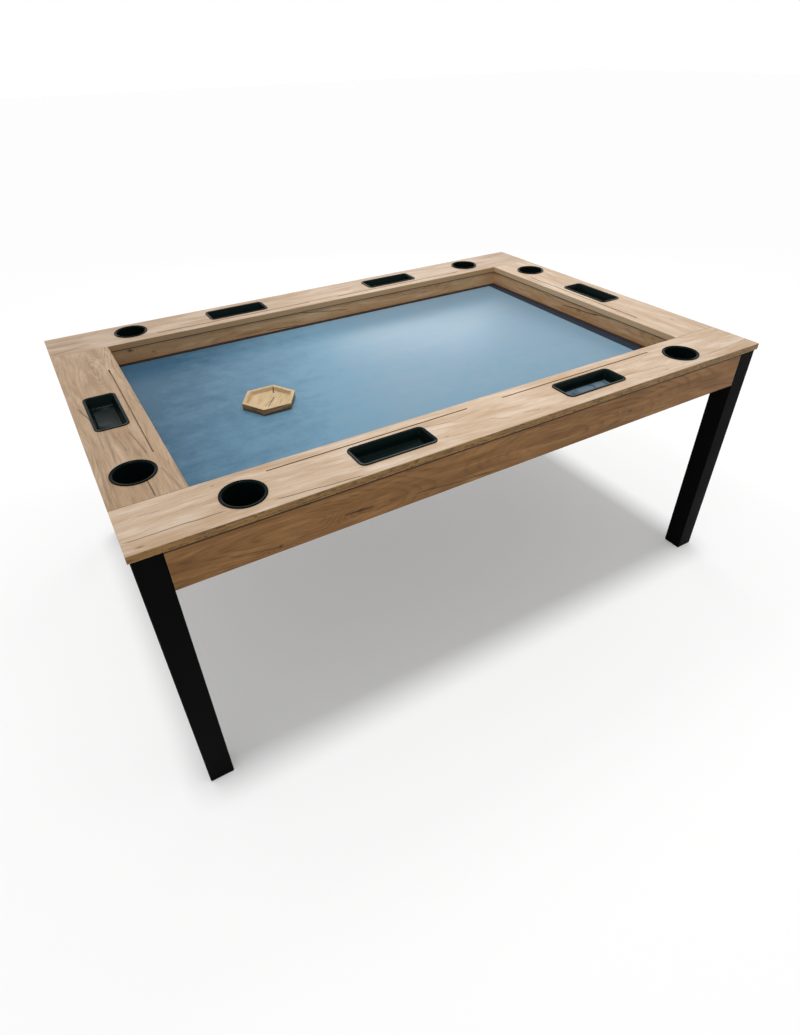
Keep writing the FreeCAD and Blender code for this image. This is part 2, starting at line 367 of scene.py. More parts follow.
@dataclass(frozen=True)
class OakColours:
    """The printed colours of an oak laminate, then those of its edges and its core, as hex."""

    bleached: str
    pale: str
    tan: str
    streak: str
    fibre: str
    ring: str
    smudge: str
    knot: str
    crack: str
    edge_light: str = "#96703a"
    edge_dark: str = "#523a1a"
    # Painted light: a paler copy of the banding, laid on a rail's inner edge for the light it gets
    # from the well.
    edge_inner_lit: str = "#c8a075"
    core: str = "#a98d67"


TOP_OAK = OakColours(
    bleached="#d7c4b1", pale="#c8b198", tan="#b89c7f", streak="#a68869", fibre="#9a7b5d",
    ring="#8c6c4f", smudge="#7c5e44", knot="#644a33", crack="#35261c",
)
# Painted light: the right rail's inner edge is painted paler still.
RIGHT_OAK_LIT_EDGE = replace(TOP_OAK, edge_inner_lit="#ddba94")
# Painted shade: the back rail has a darker copy of the top's colours.
BACK_OAK_SHADED = replace(TOP_OAK, bleached="#c5b29e", pale="#b7a087", tan="#a78b70", streak="#967a5e")
# Painted shade: the left rail has a darker copy of the laminate's colours, for the light that falls
# off towards the table's left end; its inner edge is painted paler.
LEFT_OAK_SHADED = OakColours(
    bleached="#bfa68b", pale="#b2977a", tan="#9e8161", streak="#8b6d4f", fibre="#806245",
    ring="#644731", smudge="#644832", knot="#5a402b", crack="#30221a", edge_inner_lit="#d6b284",
)
APRON_OAK = OakColours(
    bleached="#a67c4c", pale="#956c40", tan="#825b33", streak="#714d28", fibre="#684724",
    ring="#4f331a", smudge="#432710", knot="#301b0b", crack="#20120a",
    edge_light="#7b5a34", edge_dark="#54391d",
)
WALL_OAK = OakColours(
    bleached="#e6c098", pale="#daaf81", tan="#c8996b", streak="#b08256", fibre="#9f7148",
    ring="#805634", smudge="#7a5433", knot="#472c19", crack="#301c10",
    edge_light="#b08a62", edge_dark="#8c6844",
)


def threshold(share: float) -> float:
    """Give the value that a noise pattern, mostly 0.3 to 0.7, passes on this share of a board."""
    least, most = 0.3, 0.7
    return most + (least - most) * share


@dataclass(frozen=True)
class OakLaminate:
    """Chipboard with a printed oak face, lacquered satin: pale ground, soft streaks, dark cracks.

    The edges are banded with a darker streaky oak. The print lies under a thin lacquer, so the
    gloss is even and the grain is felt only a little. Places and lengths here are in mm. Seeds lie
    a step apart in the patterns, so that no two boards show the same part. The late wood is how
    dark a ring is at each share of its width. A rail's core is where its raw board shows, given
    by the least and the greatest distance from the table's middle across it, and along it.
    """

    name: str
    grain: Grain
    colours: OakColours
    seed: float
    cracks: tuple[Crack, ...] = ()
    knots: tuple[Knot, ...] = ()
    # Painted shade: dark lines across the face at these levels stand in for the shadow under the
    # rail's overhang and along the mat.
    joints: tuple[float, ...] = ()
    core: Triple | None = None
    seed_step: Pair = (3700, 1900)
    ring_spacing: float = 8
    ring_strength: float = 0.45
    ring_share: float = 0.5
    late_wood: tuple[Pair, ...] = ((0.0, 0.3), (0.1, 0.0), (0.5, 0.05), (0.9, 1.0), (1.0, 0.3))
    swirl_rings: float = 4.0
    pith_distance: float = 55
    pith_offset: float = 0
    log_rise: float = 260
    log_sway: float = 34
    slow_sway: float = 60
    quick_sway: float = 9
    streak_strength: float = 0.5
    smudge_strength: float = 0.5
    smudge_share: float = 0.5
    bleach_degrees: float = 4.0
    slant_degrees: float = -9.0
    crack_stray: float = 3
    shade_line_core: float = 1.0
    shade_line_reach: float = 3.6
    relief: float = 0.2
    glossy: float = 0.41
    dull: float = 0.54
    specular: float = 0.3

    def pattern(self, tree: Tree, point: Node, streaks: Streaks) -> Node:
        """Add the board's own part of a pattern of streaks.

        Args:
            tree: the material's node tree.
            point: the point on the board.
            streaks: which pattern.

        Returns:
            The pattern's node.
        """
        along, across, octaves, shift = streaks.value
        size = (along * MM, across * MM, across * MM)
        step_x, step_y = (self.seed * step * MM for step in self.seed_step)
        start = (step_x + shift, step_y + shift, shift)
        return drawn_out(tree, point, size, octaves, 0.55, start)

    def flowing_point(self, tree: Tree, point: Node) -> Node:
        """Bend the grain's lines a little, as a grown board's run.

        Args:
            tree: the material's node tree.
            point: the point on the board.

        Returns:
            The node with the bent point.
        """
        along, across, deep = add(tree, "SeparateXYZ", (point,)).outputs
        for streaks, sway in ((Streaks.SLOW_BEND, self.slow_sway),
                              (Streaks.QUICK_BEND, self.quick_sway)):
            bend = self.pattern(tree, point, streaks)
            across = add(tree, "Math", (bend, sway * MM, across), operation="MULTIPLY_ADD")
        return add(tree, "CombineXYZ", (along, across, deep))

    def rings(self, tree: Tree, point: Node) -> Node:
        """Add the late wood of the growth rings, as a cut through a slightly crooked log shows it.

        Args:
            tree: the material's node tree.
            point: the point on the board.

        Returns:
            The rings' node, one where they are darkest. They bend round the knots.
        """
        swirl = joined(tree, [knot.hill(tree, point, knot.swirl) for knot in self.knots], "MAXIMUM")
        slow = self.pattern(tree, point, Streaks.LOG_DEPTH)
        bend = self.pattern(tree, point, Streaks.RING_BEND)
        level = add(tree, "SeparateXYZ", (point,)).outputs[1]
        nearest = (self.pith_distance - self.log_rise / 2) * MM
        pith = (self.pith_offset + self.log_sway / 2) * MM
        deep = add(tree, "Math", (slow, self.log_rise * MM, nearest), operation="MULTIPLY_ADD")
        wavy = add(tree, "Math", (bend, self.log_sway * MM, level), operation="MULTIPLY_ADD")
        across = add(tree, "Math", (wavy, pith), operation="SUBTRACT")
        to_pith = add(tree, "CombineXYZ", (across, deep, 0.0))
        radius = add(tree, "VectorMath", (to_pith,), operation="LENGTH")
        count = add(tree, "Math", (radius, 1 / (self.ring_spacing * MM)), operation="MULTIPLY")
        if swirl is not None:
            count = add(tree, "Math", (swirl, self.swirl_rings, count), operation="MULTIPLY_ADD")
        share = add(tree, "Math", (count,), operation="FRACT")
        late = add(tree, "ValToRGB", (share,), stops=self.late_wood)
        fade = self.pattern(tree, point, Streaks.RING_FADE)
        middle = threshold(self.ring_share)
        shown = add(tree, "MapRange", (fade, middle - 0.09, middle + 0.12, 0.03, 1.0))
        if swirl is not None:
            shown = joined(tree, [shown, swirl], "MAXIMUM")
        broken = self.pattern(tree, point, Streaks.RING_BREAK)
        kept = add(tree, "MapRange", (broken, 0.36, 0.62, 0.15, 1.0))
        return joined(tree, [late, kept, shown], "MULTIPLY")

    def smudges(self, tree: Tree, flow: Node) -> Node:
        """Add the broken brown streaks that lie between the rings.

        Args:
            tree: the material's node tree.
            flow: the bent point on the board.

        Returns:
            The smudges' node, one where they are darkest.
        """
        streak = self.pattern(tree, flow, Streaks.SMUDGE)
        patch = self.pattern(tree, flow, Streaks.SMUDGE_PATCH)
        middle = threshold(self.smudge_share)
        return joined(tree, [
            add(tree, "MapRange", (streak, 0.58, 0.76, 0.0, 1.0)),
            add(tree, "MapRange", (patch, middle - 0.06, middle + 0.1, 0.0, 1.0)),
        ], "MULTIPLY")

    def print_coats(self, tree: Tree, flow: Node, rings: Node, fibre: Node) -> list[Coat]:
        """List the print's layers, from the ground up to the pores.

        Args:
            tree: the material's node tree.
            flow: the bent point on the board.
            rings: the growth rings.
            fibre: the fibre, which the relief and the gloss follow too.

        Returns:
            The layers, the lowest first.
        """
        oak = self.colours
        bleach_way, slant_way = (
            add(tree, "VectorRotate", {"Vector": flow, "Angle": math.radians(degrees)},
                rotation_type="Z_AXIS")
            for degrees in (self.bleach_degrees, self.slant_degrees)
        )
        blotch = self.pattern(tree, flow, Streaks.BLOTCH)
        bleach = self.pattern(tree, bleach_way, Streaks.BLEACH)
        band = self.pattern(tree, flow, Streaks.BAND)
        slant = self.pattern(tree, slant_way, Streaks.SLANT)
        pores = self.pattern(tree, flow, Streaks.PORES)
        return [
            Coat(oak.tan, blotch, 0.4, 0.62),
            Coat(oak.bleached, bleach, 0.48, 0.68, 0.85),
            Coat(oak.streak, band, 0.48, 0.74, self.streak_strength),
            Coat(oak.fibre, slant, 0.5, 0.76, 0.3),
            Coat(oak.fibre, fibre, 0.45, 0.8, 0.3),
            Coat(oak.ring, rings, most=self.ring_strength),
            Coat(oak.smudge, self.smudges(tree, flow), most=self.smudge_strength),
            Coat(oak.knot, pores, 0.68, 0.82, 0.35),
        ]

    def mark_coats(self, tree: Tree, point: Node) -> list[Coat]:
        """List the marks over the grain.

        Args:
            tree: the material's node tree.
            point: the point on the board.

        Returns:
            This board's own knots, its cracks, and painted shadow lines where it meets other
            boards.
        """
        oak = self.colours
        coats = [Coat(oak.knot, knot.hill(tree, point, 1.0), most=knot.darkness)
                 for knot in self.knots]
        stray = self.pattern(tree, point, Streaks.CRACK_WANDER)
        aside = self.crack_stray * MM
        wander = add(tree, "MapRange", (stray, 0.25, 0.75, -aside, aside))
        cracks = joined(tree, [crack.line(tree, point, wander) for crack in self.cracks],
                        "MAXIMUM")
        if cracks is not None:
            coats.append(Coat(oak.crack, cracks))
        across = add(tree, "SeparateXYZ", (point,)).outputs[1]
        # Painted shade: a dark line at each of these levels, for the shadow in the joint between
        # boards.
        for level in self.joints:
            apart = add(tree, "Math", (across, level * MM), operation="SUBTRACT")
            apart = add(tree, "Math", (apart,), operation="ABSOLUTE")
            line = add(tree, "MapRange", (
                apart, self.shade_line_core * MM, self.shade_line_reach * MM, 0.9, 0.0,
            ), interpolation_type="SMOOTHSTEP")
            coats.append(Coat(oak.knot, line))
        return coats

    def edge_colour(self, tree: Tree, point: Node) -> Node:
        """Add the banding: two browns in long streaks, with short dark ticks over them.

        A rail's inner edge is painted paler, a painted light for the light it gets from the well,
        and raw chipboard shows in its slots and holes.

        Args:
            tree: the material's node tree.
            point: the point on the board.

        Returns:
            The node with the colour.
        """
        oak = self.colours
        coats = [
            Coat(oak.edge_dark, self.pattern(tree, point, Streaks.EDGE_STREAK), 0.42, 0.64, 0.55),
            Coat(oak.edge_dark, self.pattern(tree, point, Streaks.EDGE_TICKS), 0.52, 0.64, 0.8),
        ]
        if self.core is not None:
            near, far, reach = (limit * MM for limit in self.core)
            along, across = (add(tree, "Math", (axis,), operation="ABSOLUTE")
                             for axis in add(tree, "SeparateXYZ", (point,)).outputs[:2])
            # Painted light: the inner edge, towards the well, takes the paler banding.
            inner = add(tree, "Math", (across, near), operation="LESS_THAN")
            raw = joined(tree, [
                add(tree, "Math", (across, near), operation="GREATER_THAN"),
                add(tree, "Math", (across, far), operation="LESS_THAN"),
                add(tree, "Math", (along, reach), operation="LESS_THAN"),
            ], "MULTIPLY")
            coats += [Coat(oak.edge_inner_lit, inner, most=0.8), Coat(oak.core, raw)]
        return laid_over(tree, oak.edge_light, coats)

    def build(self) -> Material:
        """Make the laminate's material. Eased arrises count as its face.

        Returns:
            The material.
        """
        material, tree, shader, where = new_material(self.name)
        point = board_point(tree, where["Object"], self.grain)
        flow = self.flowing_point(tree, point)
        rings = self.rings(tree, point)
        fibre = self.pattern(tree, flow, Streaks.FIBRE)
        face = laid_over(tree, self.colours.pale, [
            *self.print_coats(tree, flow, rings, fibre), *self.mark_coats(tree, point),
        ])
        tilt = add(tree, "SeparateXYZ", (where["Normal"],)).outputs[self.grain.value[2]]
        tilt = add(tree, "Math", (tilt,), operation="ABSOLUTE")
        on_face = add(tree, "Math", (tilt, 0.5), operation="GREATER_THAN")
        relief = add(tree, "Math", (fibre, rings), operation="ADD")
        plug(tree, shader, {
            "Base Color": laid_over(tree, self.edge_colour(tree, point), [Coat(face, on_face)]),
            "Roughness": add(tree, "MapRange", (fibre, 0.2, 0.8, self.glossy, self.dull)),
            "Normal": add(tree, "Bump", {
                "Strength": 0.2, "Distance": self.relief * MM, "Height": relief,
            }, invert=True),
            "IOR": 1.5,
            "Specular IOR Level": self.specular,
        })
        return material


@dataclass(frozen=True)
class GlossPlastic:
    """Black ABS, moulded against a polished tool: deep black with sharp lights, faintly smudged.

    A tray can have a painted reflection on its floor: pale blue-grey patches that stand in
    for the window's light mirrored there.
    """

    name: str = "gloss_black_abs"
    colour: str = "#07100f"
    smudge: str = "#0f1a19"
    sheen: str = "#b4d6d4"
    sharp: float = 0.14
    smudged: float = 0.3
    smudge_size: float = 35 * MM
    specular: float = 0.03
    # Painted reflection: how strong the pale patches on the floor are, their colour, and the level
    # below which they lie.
    painted_reflection: float = 0.0
    painted_reflection_colour: str = "#6b7d8e"
    painted_reflection_below: float = 0.735

    def painted_reflection_patches(self, tree: Tree, place: Socket, normal: Socket) -> Node:
        """Tell the patches of painted reflection on the floor, which lies flat and below a level.

        Args:
            tree: the material's node tree.
            place: the point on the tray.
            normal: the way it faces.

        Returns:
            The patches' node, whose most is the plastic's painted reflection.
        """
        facing_up = add(tree, "SeparateXYZ", (normal,)).outputs["Z"]
        level = add(tree, "SeparateXYZ", (place,)).outputs["Z"]
        cloud = add(tree, "TexNoise", {
            "Vector": place, "Scale": 1 / self.smudge_size, "Detail": 4.0, "Roughness": 0.6,
            "Distortion": 0.8,
        })
        return joined(tree, [
            add(tree, "MapRange", (facing_up, 0.8, 0.99, 0.0, self.painted_reflection)),
            add(tree, "Math", (level, self.painted_reflection_below), operation="LESS_THAN"),
            add(tree, "MapRange", (cloud, 0.36, 0.56, 0.35, 1.0)),
        ], "MULTIPLY")

    def build(self) -> Material:
        """Make the plastic's material.

        Returns:
            The material.
        """
        material, tree, shader, where = new_material(self.name)
        smudge = add(tree, "TexNoise", {
            "Vector": where["Object"], "Scale": 1 / self.smudge_size, "Detail": 5.0,
            "Roughness": 0.6,
        })
        coats = [Coat(self.smudge, smudge)]
        if self.painted_reflection:
            reflection_patches = self.painted_reflection_patches(tree, where["Object"], where["Normal"])
            coats.append(Coat(self.painted_reflection_colour, reflection_patches))
        plug(tree, shader, {
            "Base Color": laid_over(tree, self.colour, coats),
            "Roughness": add(tree, "MapRange", (smudge, 0.4, 0.7, self.sharp, self.smudged)),
            "IOR": 1.53,
            "Specular IOR Level": self.specular,
            "Specular Tint": self.sheen,
        })
        return material


@dataclass(frozen=True)
class MottledFinish:
    """A finish in two close tones, with a fine skin or without one.

    Those that derive from it say what the real one is.
    """

    name: str
    colour: str
    light: str
    cloud_size: float
    cloud_detail: float
    cloud_roughness: float = 0.5
    roughness: float = 0.5
    duller: float = 0.0
    specular: float = 0.5
    skin_size: float = 0.0
    skin_detail: float = 2.0
    skin_strength: float = 0.3
    skin_depth: float = 0.1 * MM

    def build(self) -> Material:
        """Make the finish's material.

        Returns:
            The material.
        """
        material, tree, shader, where = new_material(self.name)
        cloud = add(tree, "TexNoise", {
            "Vector": where["Object"], "Scale": 1 / self.cloud_size, "Detail": self.cloud_detail,
            "Roughness": self.cloud_roughness,
        })
        plug(tree, shader, {
            "Base Color": laid_over(tree, self.colour, [Coat(self.light, cloud)]),
            "Roughness": self.roughness,
            "Specular IOR Level": self.specular,
        })
        if self.duller:
            dull = self.roughness + self.duller
            gloss = add(tree, "MapRange", (cloud, 0.3, 0.7, self.roughness, dull))
            plug(tree, shader, {"Roughness": gloss})
        if self.skin_size:
            skin = add(tree, "TexNoise", {
                "Vector": where["Object"], "Scale": 1 / self.skin_size,
                "Detail": self.skin_detail,
            })
            bump = add(tree, "Bump", {
                "Strength": self.skin_strength, "Distance": self.skin_depth, "Height": skin,
            })
            plug(tree, shader, {"Normal": bump})
        return material


@dataclass(frozen=True)
class PowderCoat(MottledFinish):
    """Steel with a satin black powder coat, baked on: near black with a fine orange-peel skin."""

    name: str = "satin_black_powder_coat"
    colour: str = "#040604"
    light: str = "#090b09"
    cloud_size: float = 111 * MM
    cloud_detail: float = 4.0
    roughness: float = 0.42
    duller: float = 0.13
    specular: float = 0.02
    skin_size: float = 2.5 * MM
    skin_detail: float = 1.0
    skin_strength: float = 0.15
    skin_depth: float = 0.08 * MM


@dataclass(frozen=True)
class MatteNylon(MottledFinish):
    """Black nylon, moulded against a grained tool: dull, with a sand grain, drawn a bit coarse."""

    name: str = "matte_black_nylon"
    colour: str = "#121313"
    light: str = "#1c1d1d"
    cloud_size: float = 1.5 * MM
    cloud_detail: float = 2.0
    roughness: float = 0.7
    skin_size: float = 1.5 * MM


@dataclass(frozen=True)
class SlateBoard(MottledFinish):
    """Board faced with slate-grey melamine, pressed with a matt plate: dark, dull and clouded."""

    name: str = "slate_grey_melamine"
    colour: str = "#192531"
    light: str = "#212d3b"
    cloud_size: float = 71.4 * MM
    cloud_detail: float = 6.0
    cloud_roughness: float = 0.7
    specular: float = 0.2


@dataclass(frozen=True)
class ZincPlate:
    """Steel, zinc plated in a barrel: bright blue-white grey with a soft crystal mottle.

    The crystals are drawn coarser than real ones, so that they show.
    """

    name: str = "zinc_plated_steel"
    colour: str = "#b9bcc0"
    dull: str = "#8f9398"
    crystal_size: float = 3.846 * MM

    def build(self) -> Material:
        """Make the plating's material.

        Returns:
            The material.
        """
        material, tree, shader, where = new_material(self.name)
        crystal = add(tree, "TexVoronoi", {
            "Vector": where["Object"], "Scale": 1 / self.crystal_size,
        })
        plug(tree, shader, {
            "Base Color": laid_over(tree, self.colour, [Coat(self.dull, crystal)]),
            "Metallic": 1.0,
            "Roughness": 0.38,
        })
        return material


@dataclass(frozen=True)
class PlayCloth:
    """Printed polyester on rubber: a clouded blue, dull, with faint strokes along the table.

    The colour grows paler from the far left to the near right: painted shade and painted sheen.
    The thread is drawn coarser than real, so that it shows.
    """

    name: str = "clouded_blue_cloth"
    deep: str = "#2c5670"
    mid: str = "#638aa1"
    light: str = "#7b8f9d"
    cloud_size: float = 330 * MM
    stroke_size: Triple = (250 * MM, 38.46 * MM, 1.0)
    mottle_size: float = 45 * MM
    thread: float = 2.4 * MM
    painted_light_way: Triple = (1.0, -0.35, 0.0)
    painted_light_span: Pair = (-0.78, 0.0)

    def build(self) -> Material:
        """Make the cloth's material.

        Returns:
            The material.
        """
        material, tree, shader, where = new_material(self.name)
        place = where["Object"]
        cloud = add(tree, "TexNoise", {
            "Vector": place, "Scale": 1 / self.cloud_size, "Detail": 6.0, "Roughness": 0.62,
            "Distortion": 0.6,
        })
        stroke = drawn_out(tree, place, self.stroke_size, 5.0, 0.6)
        mottle = add(tree, "TexNoise", {
            "Vector": place, "Scale": 1 / self.mottle_size, "Detail": 5.0, "Roughness": 0.7,
        })
        # Painted light: a gradient along this way, dark at the far left like shade, pale at the
        # near right like sheen.
        way = add(tree, "VectorMath", (place, self.painted_light_way), operation="DOT_PRODUCT")
        blend = add(tree, "MapRange", (way, *self.painted_light_span, 0.03, 0.35))
        for pattern, share in ((cloud, 0.1), (stroke, 0.12), (mottle, 0.18)):
            blend = add(tree, "Math", (pattern, share, blend), operation="MULTIPLY_ADD")
        weave = add(tree, "TexNoise", {"Vector": place, "Scale": 1 / self.thread, "Detail": 2.0})
        plug(tree, shader, {
            "Base Color": add(tree, "ValToRGB", (blend,), stops=[
                (0.25, self.deep), (0.46, self.mid), (0.68, self.light),
            ]),
            "Normal": add(tree, "Bump", {
                "Strength": 0.25, "Distance": 0.2 * MM, "Height": weave,
            }),
            "Roughness": 0.34,
            "Specular IOR Level": 0.32,
        })
        return material


@dataclass(frozen=True)
class SawnPine:
    """Pine, sawn and left bare: pale yellow, with soft yearly streaks along its length."""

    name: str
    grain: Grain
    pale: str = "#cfae7d"
    dark: str = "#a98050"
    streak_size: Triple = (200 * MM, 6.25 * MM, 6.25 * MM)

    def build(self) -> Material:
        """Make the pine's material.

        Returns:
            The material.
        """
        material, tree, shader, where = new_material(self.name)
        point = board_point(tree, where["Object"], self.grain)
        streak = drawn_out(tree, point, self.streak_size, 4.0, 0.6)
        plug(tree, shader, {
            "Base Color": add(tree, "ValToRGB", (streak,), stops=[
                (0.35, self.pale), (0.7, self.dark),
            ]),
            "Normal": add(tree, "Bump", {
                "Strength": 0.4, "Distance": 0.3 * MM, "Height": streak,
            }),
            "Roughness": 0.75,
        })
        return material


@dataclass(frozen=True)
class OiledOak:
    """Solid oak, milled and oiled: pale gold, with open cracks in the floor and brown sawn sides.

    The sides darken downwards, and those that face the tray's middle are half as brown.
    """

    name: str = "oiled_golden_oak"
    pale: str = "#c6b392"
    tan: str = "#b1956c"
    side: str = "#94663c"
    crack: str = "#4f3318"
    middle: Triple = (-0.412, -0.050, 0.6945)
    grain_degrees: float = 52.0
    grain_size: Triple = (62.5 * MM, 4.348 * MM, 4.348 * MM)
    saw_size: Triple = (71.4 * MM, 71.4 * MM, 6.667 * MM)
    stray_size: float = 16.67 * MM
    stray: float = 2 * MM
    darker_per_metre: float = 12.0
    cracks: tuple[Crack, ...] = (
        Crack(-393, -36, -428, -83, 2.6, 1.0),
        Crack(-385, -33, -437, -77, 2.0, 0.7),
        Crack(-425, -28, -450, -55, 1.8, 0.5),
        Crack(-378, -58, -397, -85, 1.8, 0.5),
        Crack(-378.5, 5, -385, -13, 3.6, 1.0),
    )

    def sides(self, tree: Tree, place: Socket, normal: Socket) -> Coat:
        """Give the brown coat of the sides.

        Args:
            tree: the material's node tree.
            place: the point on the tray.
            normal: the way it faces.

        Returns:
            The coat, which leaves the rim and the floor free.
        """
        outward = add(tree, "VectorMath", (place, self.middle), operation="SUBTRACT")
        height = add(tree, "SeparateXYZ", (outward,)).outputs["Z"]
        level = add(tree, "VectorMath", (outward, (1.0, 1.0, 0.0)), operation="MULTIPLY")
        facing_out = add(tree, "VectorMath", (level, normal), operation="DOT_PRODUCT")
        facing_up = add(tree, "SeparateXYZ", (normal,)).outputs["Z"]
        upright = joined(tree, [
            add(tree, "MapRange", (facing_up, 0.2, 0.8, 0.9, 0.0)),
            add(tree, "MapRange", (facing_out, -0.02, 0.02, 0.5, 1.0)),
        ], "MULTIPLY")
        band = drawn_out(tree, place, self.saw_size, 4.0, 0.7)
        band = add(tree, "Math", (height, self.darker_per_metre, band), operation="MULTIPLY_ADD")
        return Coat(add(tree, "ValToRGB", (band,), stops=[
            (0.38, self.crack), (0.5, self.side), (0.64, self.tan),
        ]), upright)

    def build(self) -> Material:
        """Make the oak's material.

        Returns:
            The material.
        """
        material, tree, shader, where = new_material(self.name)
        place = where["Object"]
        turned = add(tree, "Mapping", {
            "Vector": place, "Rotation": (0.0, 0.0, -math.radians(self.grain_degrees)),
        })
        streak = drawn_out(tree, turned, self.grain_size, 4.0, 0.6)
        milled = add(tree, "ValToRGB", (streak,), stops=[
            (0.3, self.pale), (0.62, self.tan), (0.85, self.side),
        ])
        stray = add(tree, "TexNoise", {"Vector": place, "Scale": 1 / self.stray_size})
        wander = add(tree, "MapRange", (stray, 0.0, 1.0, -self.stray, self.stray))
        coats = [Coat(self.crack, crack.line(tree, place, wander)) for crack in self.cracks]
        coats.append(self.sides(tree, place, where["Normal"]))
        plug(tree, shader, {
            "Base Color": laid_over(tree, milled, coats),
            "Normal": add(tree, "Bump", {
                "Strength": 0.3, "Distance": 0.3 * MM, "Height": streak,
            }),
            "Roughness": 0.5,
            "Specular IOR Level": 0.3,
        })
        return material


def finished(mesh: Mesh, name: str, material: Material, body: str,
             smooth_degrees: float = 40.0) -> Piece:
    """Turn a finished bmesh to a piece that rides on a body.

    Args:
        mesh: the bmesh, in the table's frame. It is freed.
        name: the piece's name.
        material: its finish.
        body: the body that it rides on.
        smooth_degrees: edges that turn less than this are shaded smooth.

    Returns:
        The new object, which sits at the origin.
    """
    bmesh.ops.remove_doubles(mesh, verts=mesh.verts, dist=WELD)
    bmesh.ops.recalc_face_normals(mesh, faces=mesh.faces)
    limit = math.radians(smooth_degrees)
    for face in mesh.faces:
        face.smooth = True
    for edge in mesh.edges:
        edge.smooth = len(edge.link_faces) == 2 and edge.calc_face_angle(0.0) < limit
    data = saved(mesh, name)
    data.materials.append(material)
    piece = bpy.data.objects.new(name, data)
    bpy.context.scene.collection.objects.link(piece)
    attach(piece, body)
    LOG.info("made %s: %d faces", name, len(data.polygons))
    return piece


def saved(mesh: Mesh, name: str) -> bpy.types.Mesh:
    """Keep a bmesh as mesh data.

    Args:
        mesh: the bmesh. It is freed.
        name: the data's name.

    Returns:
        The data.
    """
    data = bpy.data.meshes.new(name)
    mesh.to_mesh(data)
    mesh.free()
    return data


def placed(mesh: Mesh, low: Vector, high: Vector, degrees: float = 0.0) -> None:
    """Turn a mesh about the Z axis and move it from there to the middle of a box, at its level.

    Args:
        mesh: the bmesh.
        low: the box's lowest corner.
        high: its highest corner.
        degrees: how far the mesh is turned.
    """
    middle = (low + high) / 2
    turn = Matrix.Rotation(math.radians(degrees), 4, "Z")
    bmesh.ops.transform(mesh, matrix=Matrix.Translation((middle.x, middle.y, 0.0)) @ turn,
                        verts=mesh.verts)


def raise_plate(mesh: Mesh, height: float) -> None:
    """Thicken a flat face upward to a plate.

    Args:
        mesh: the bmesh, which has no other face.
        height: the plate's thickness.
    """
    made = bmesh.ops.extrude_face_region(mesh, geom=mesh.faces[:], use_keep_orig=True)
    raised = [item for item in made["geom"] if isinstance(item, bmesh.types.BMVert)]
    bmesh.ops.translate(mesh, vec=(0.0, 0.0, height), verts=raised)
    bmesh.ops.recalc_face_normals(mesh, faces=mesh.faces)


def rounded_corners(mesh: Mesh, radius: float, segments: int) -> None:
    """Round the corners of a flat face."""
    bmesh.ops.bevel(mesh, geom=mesh.verts[:], offset=radius, offset_type="OFFSET",
                    segments=segments, profile=0.5, affect="VERTICES", material=-1)


def rounded_edges(mesh: Mesh, edges: list[Edge], width: float, segments: int) -> None:
    """Round edges with some facets, as far as the width on either side of each."""
    bmesh.ops.bevel(mesh, geom=edges, offset=width, offset_type="OFFSET", segments=segments,
                    profile=0.5, affect="EDGES", clamp_overlap=True, material=-1)


def edges_at(mesh: Mesh, level: float, least: float = 0.0, most: float = math.inf) -> list[Edge]:
    """Find the edges at one level.

    Args:
        mesh: the bmesh.
        level: the height at which both ends of an edge lie.
        least: the least distance of both ends from the Z axis.
        most: their greatest distance from it.

    Returns:
        The edges.
    """
    near = 10 * WELD
    return [edge for edge in mesh.edges
            if all(abs(v.co.z - level) < near and least <= v.co.xy.length <= most
                   for v in edge.verts)]


def highest_face(mesh: Mesh) -> Face:
    """Find the largest of the highest faces."""
    return max(mesh.faces, key=lambda face: (round(face.calc_center_median().z, 5),
                                             face.calc_area()))


def step_in(mesh: Mesh, face: Face, steps: tuple[Pair, ...]) -> None:
    """Press a face inward step by step.

    Args:
        mesh: the bmesh.
        face: the face, which ends up innermost.
        steps: how far each step goes in from the outline, and out along the face's normal.
    """
    for inward, outward in steps:
        bmesh.ops.inset_region(mesh, faces=[face], thickness=inward, depth=outward,
                               use_even_offset=True, use_boundary=True)


@dataclass
class DropIn:
    """A moulded piece that hangs in a rail by its rim and lifts out."""

    node: str
    finish: Material

    def hang(self, mesh: Mesh, low: Vector, high: Vector) -> None:
        """Put the moulded shape where the node is, to stand for it.

        Args:
            mesh: the shape, round the Z axis.
            low: the lowest corner of the node's box.
            high: its highest corner.
        """
        placed(mesh, low, high)
        name = f"{self.node}_moulded"
        piece = finished(mesh, name, self.finish, self.node, 35.0)
        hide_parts(self.node)


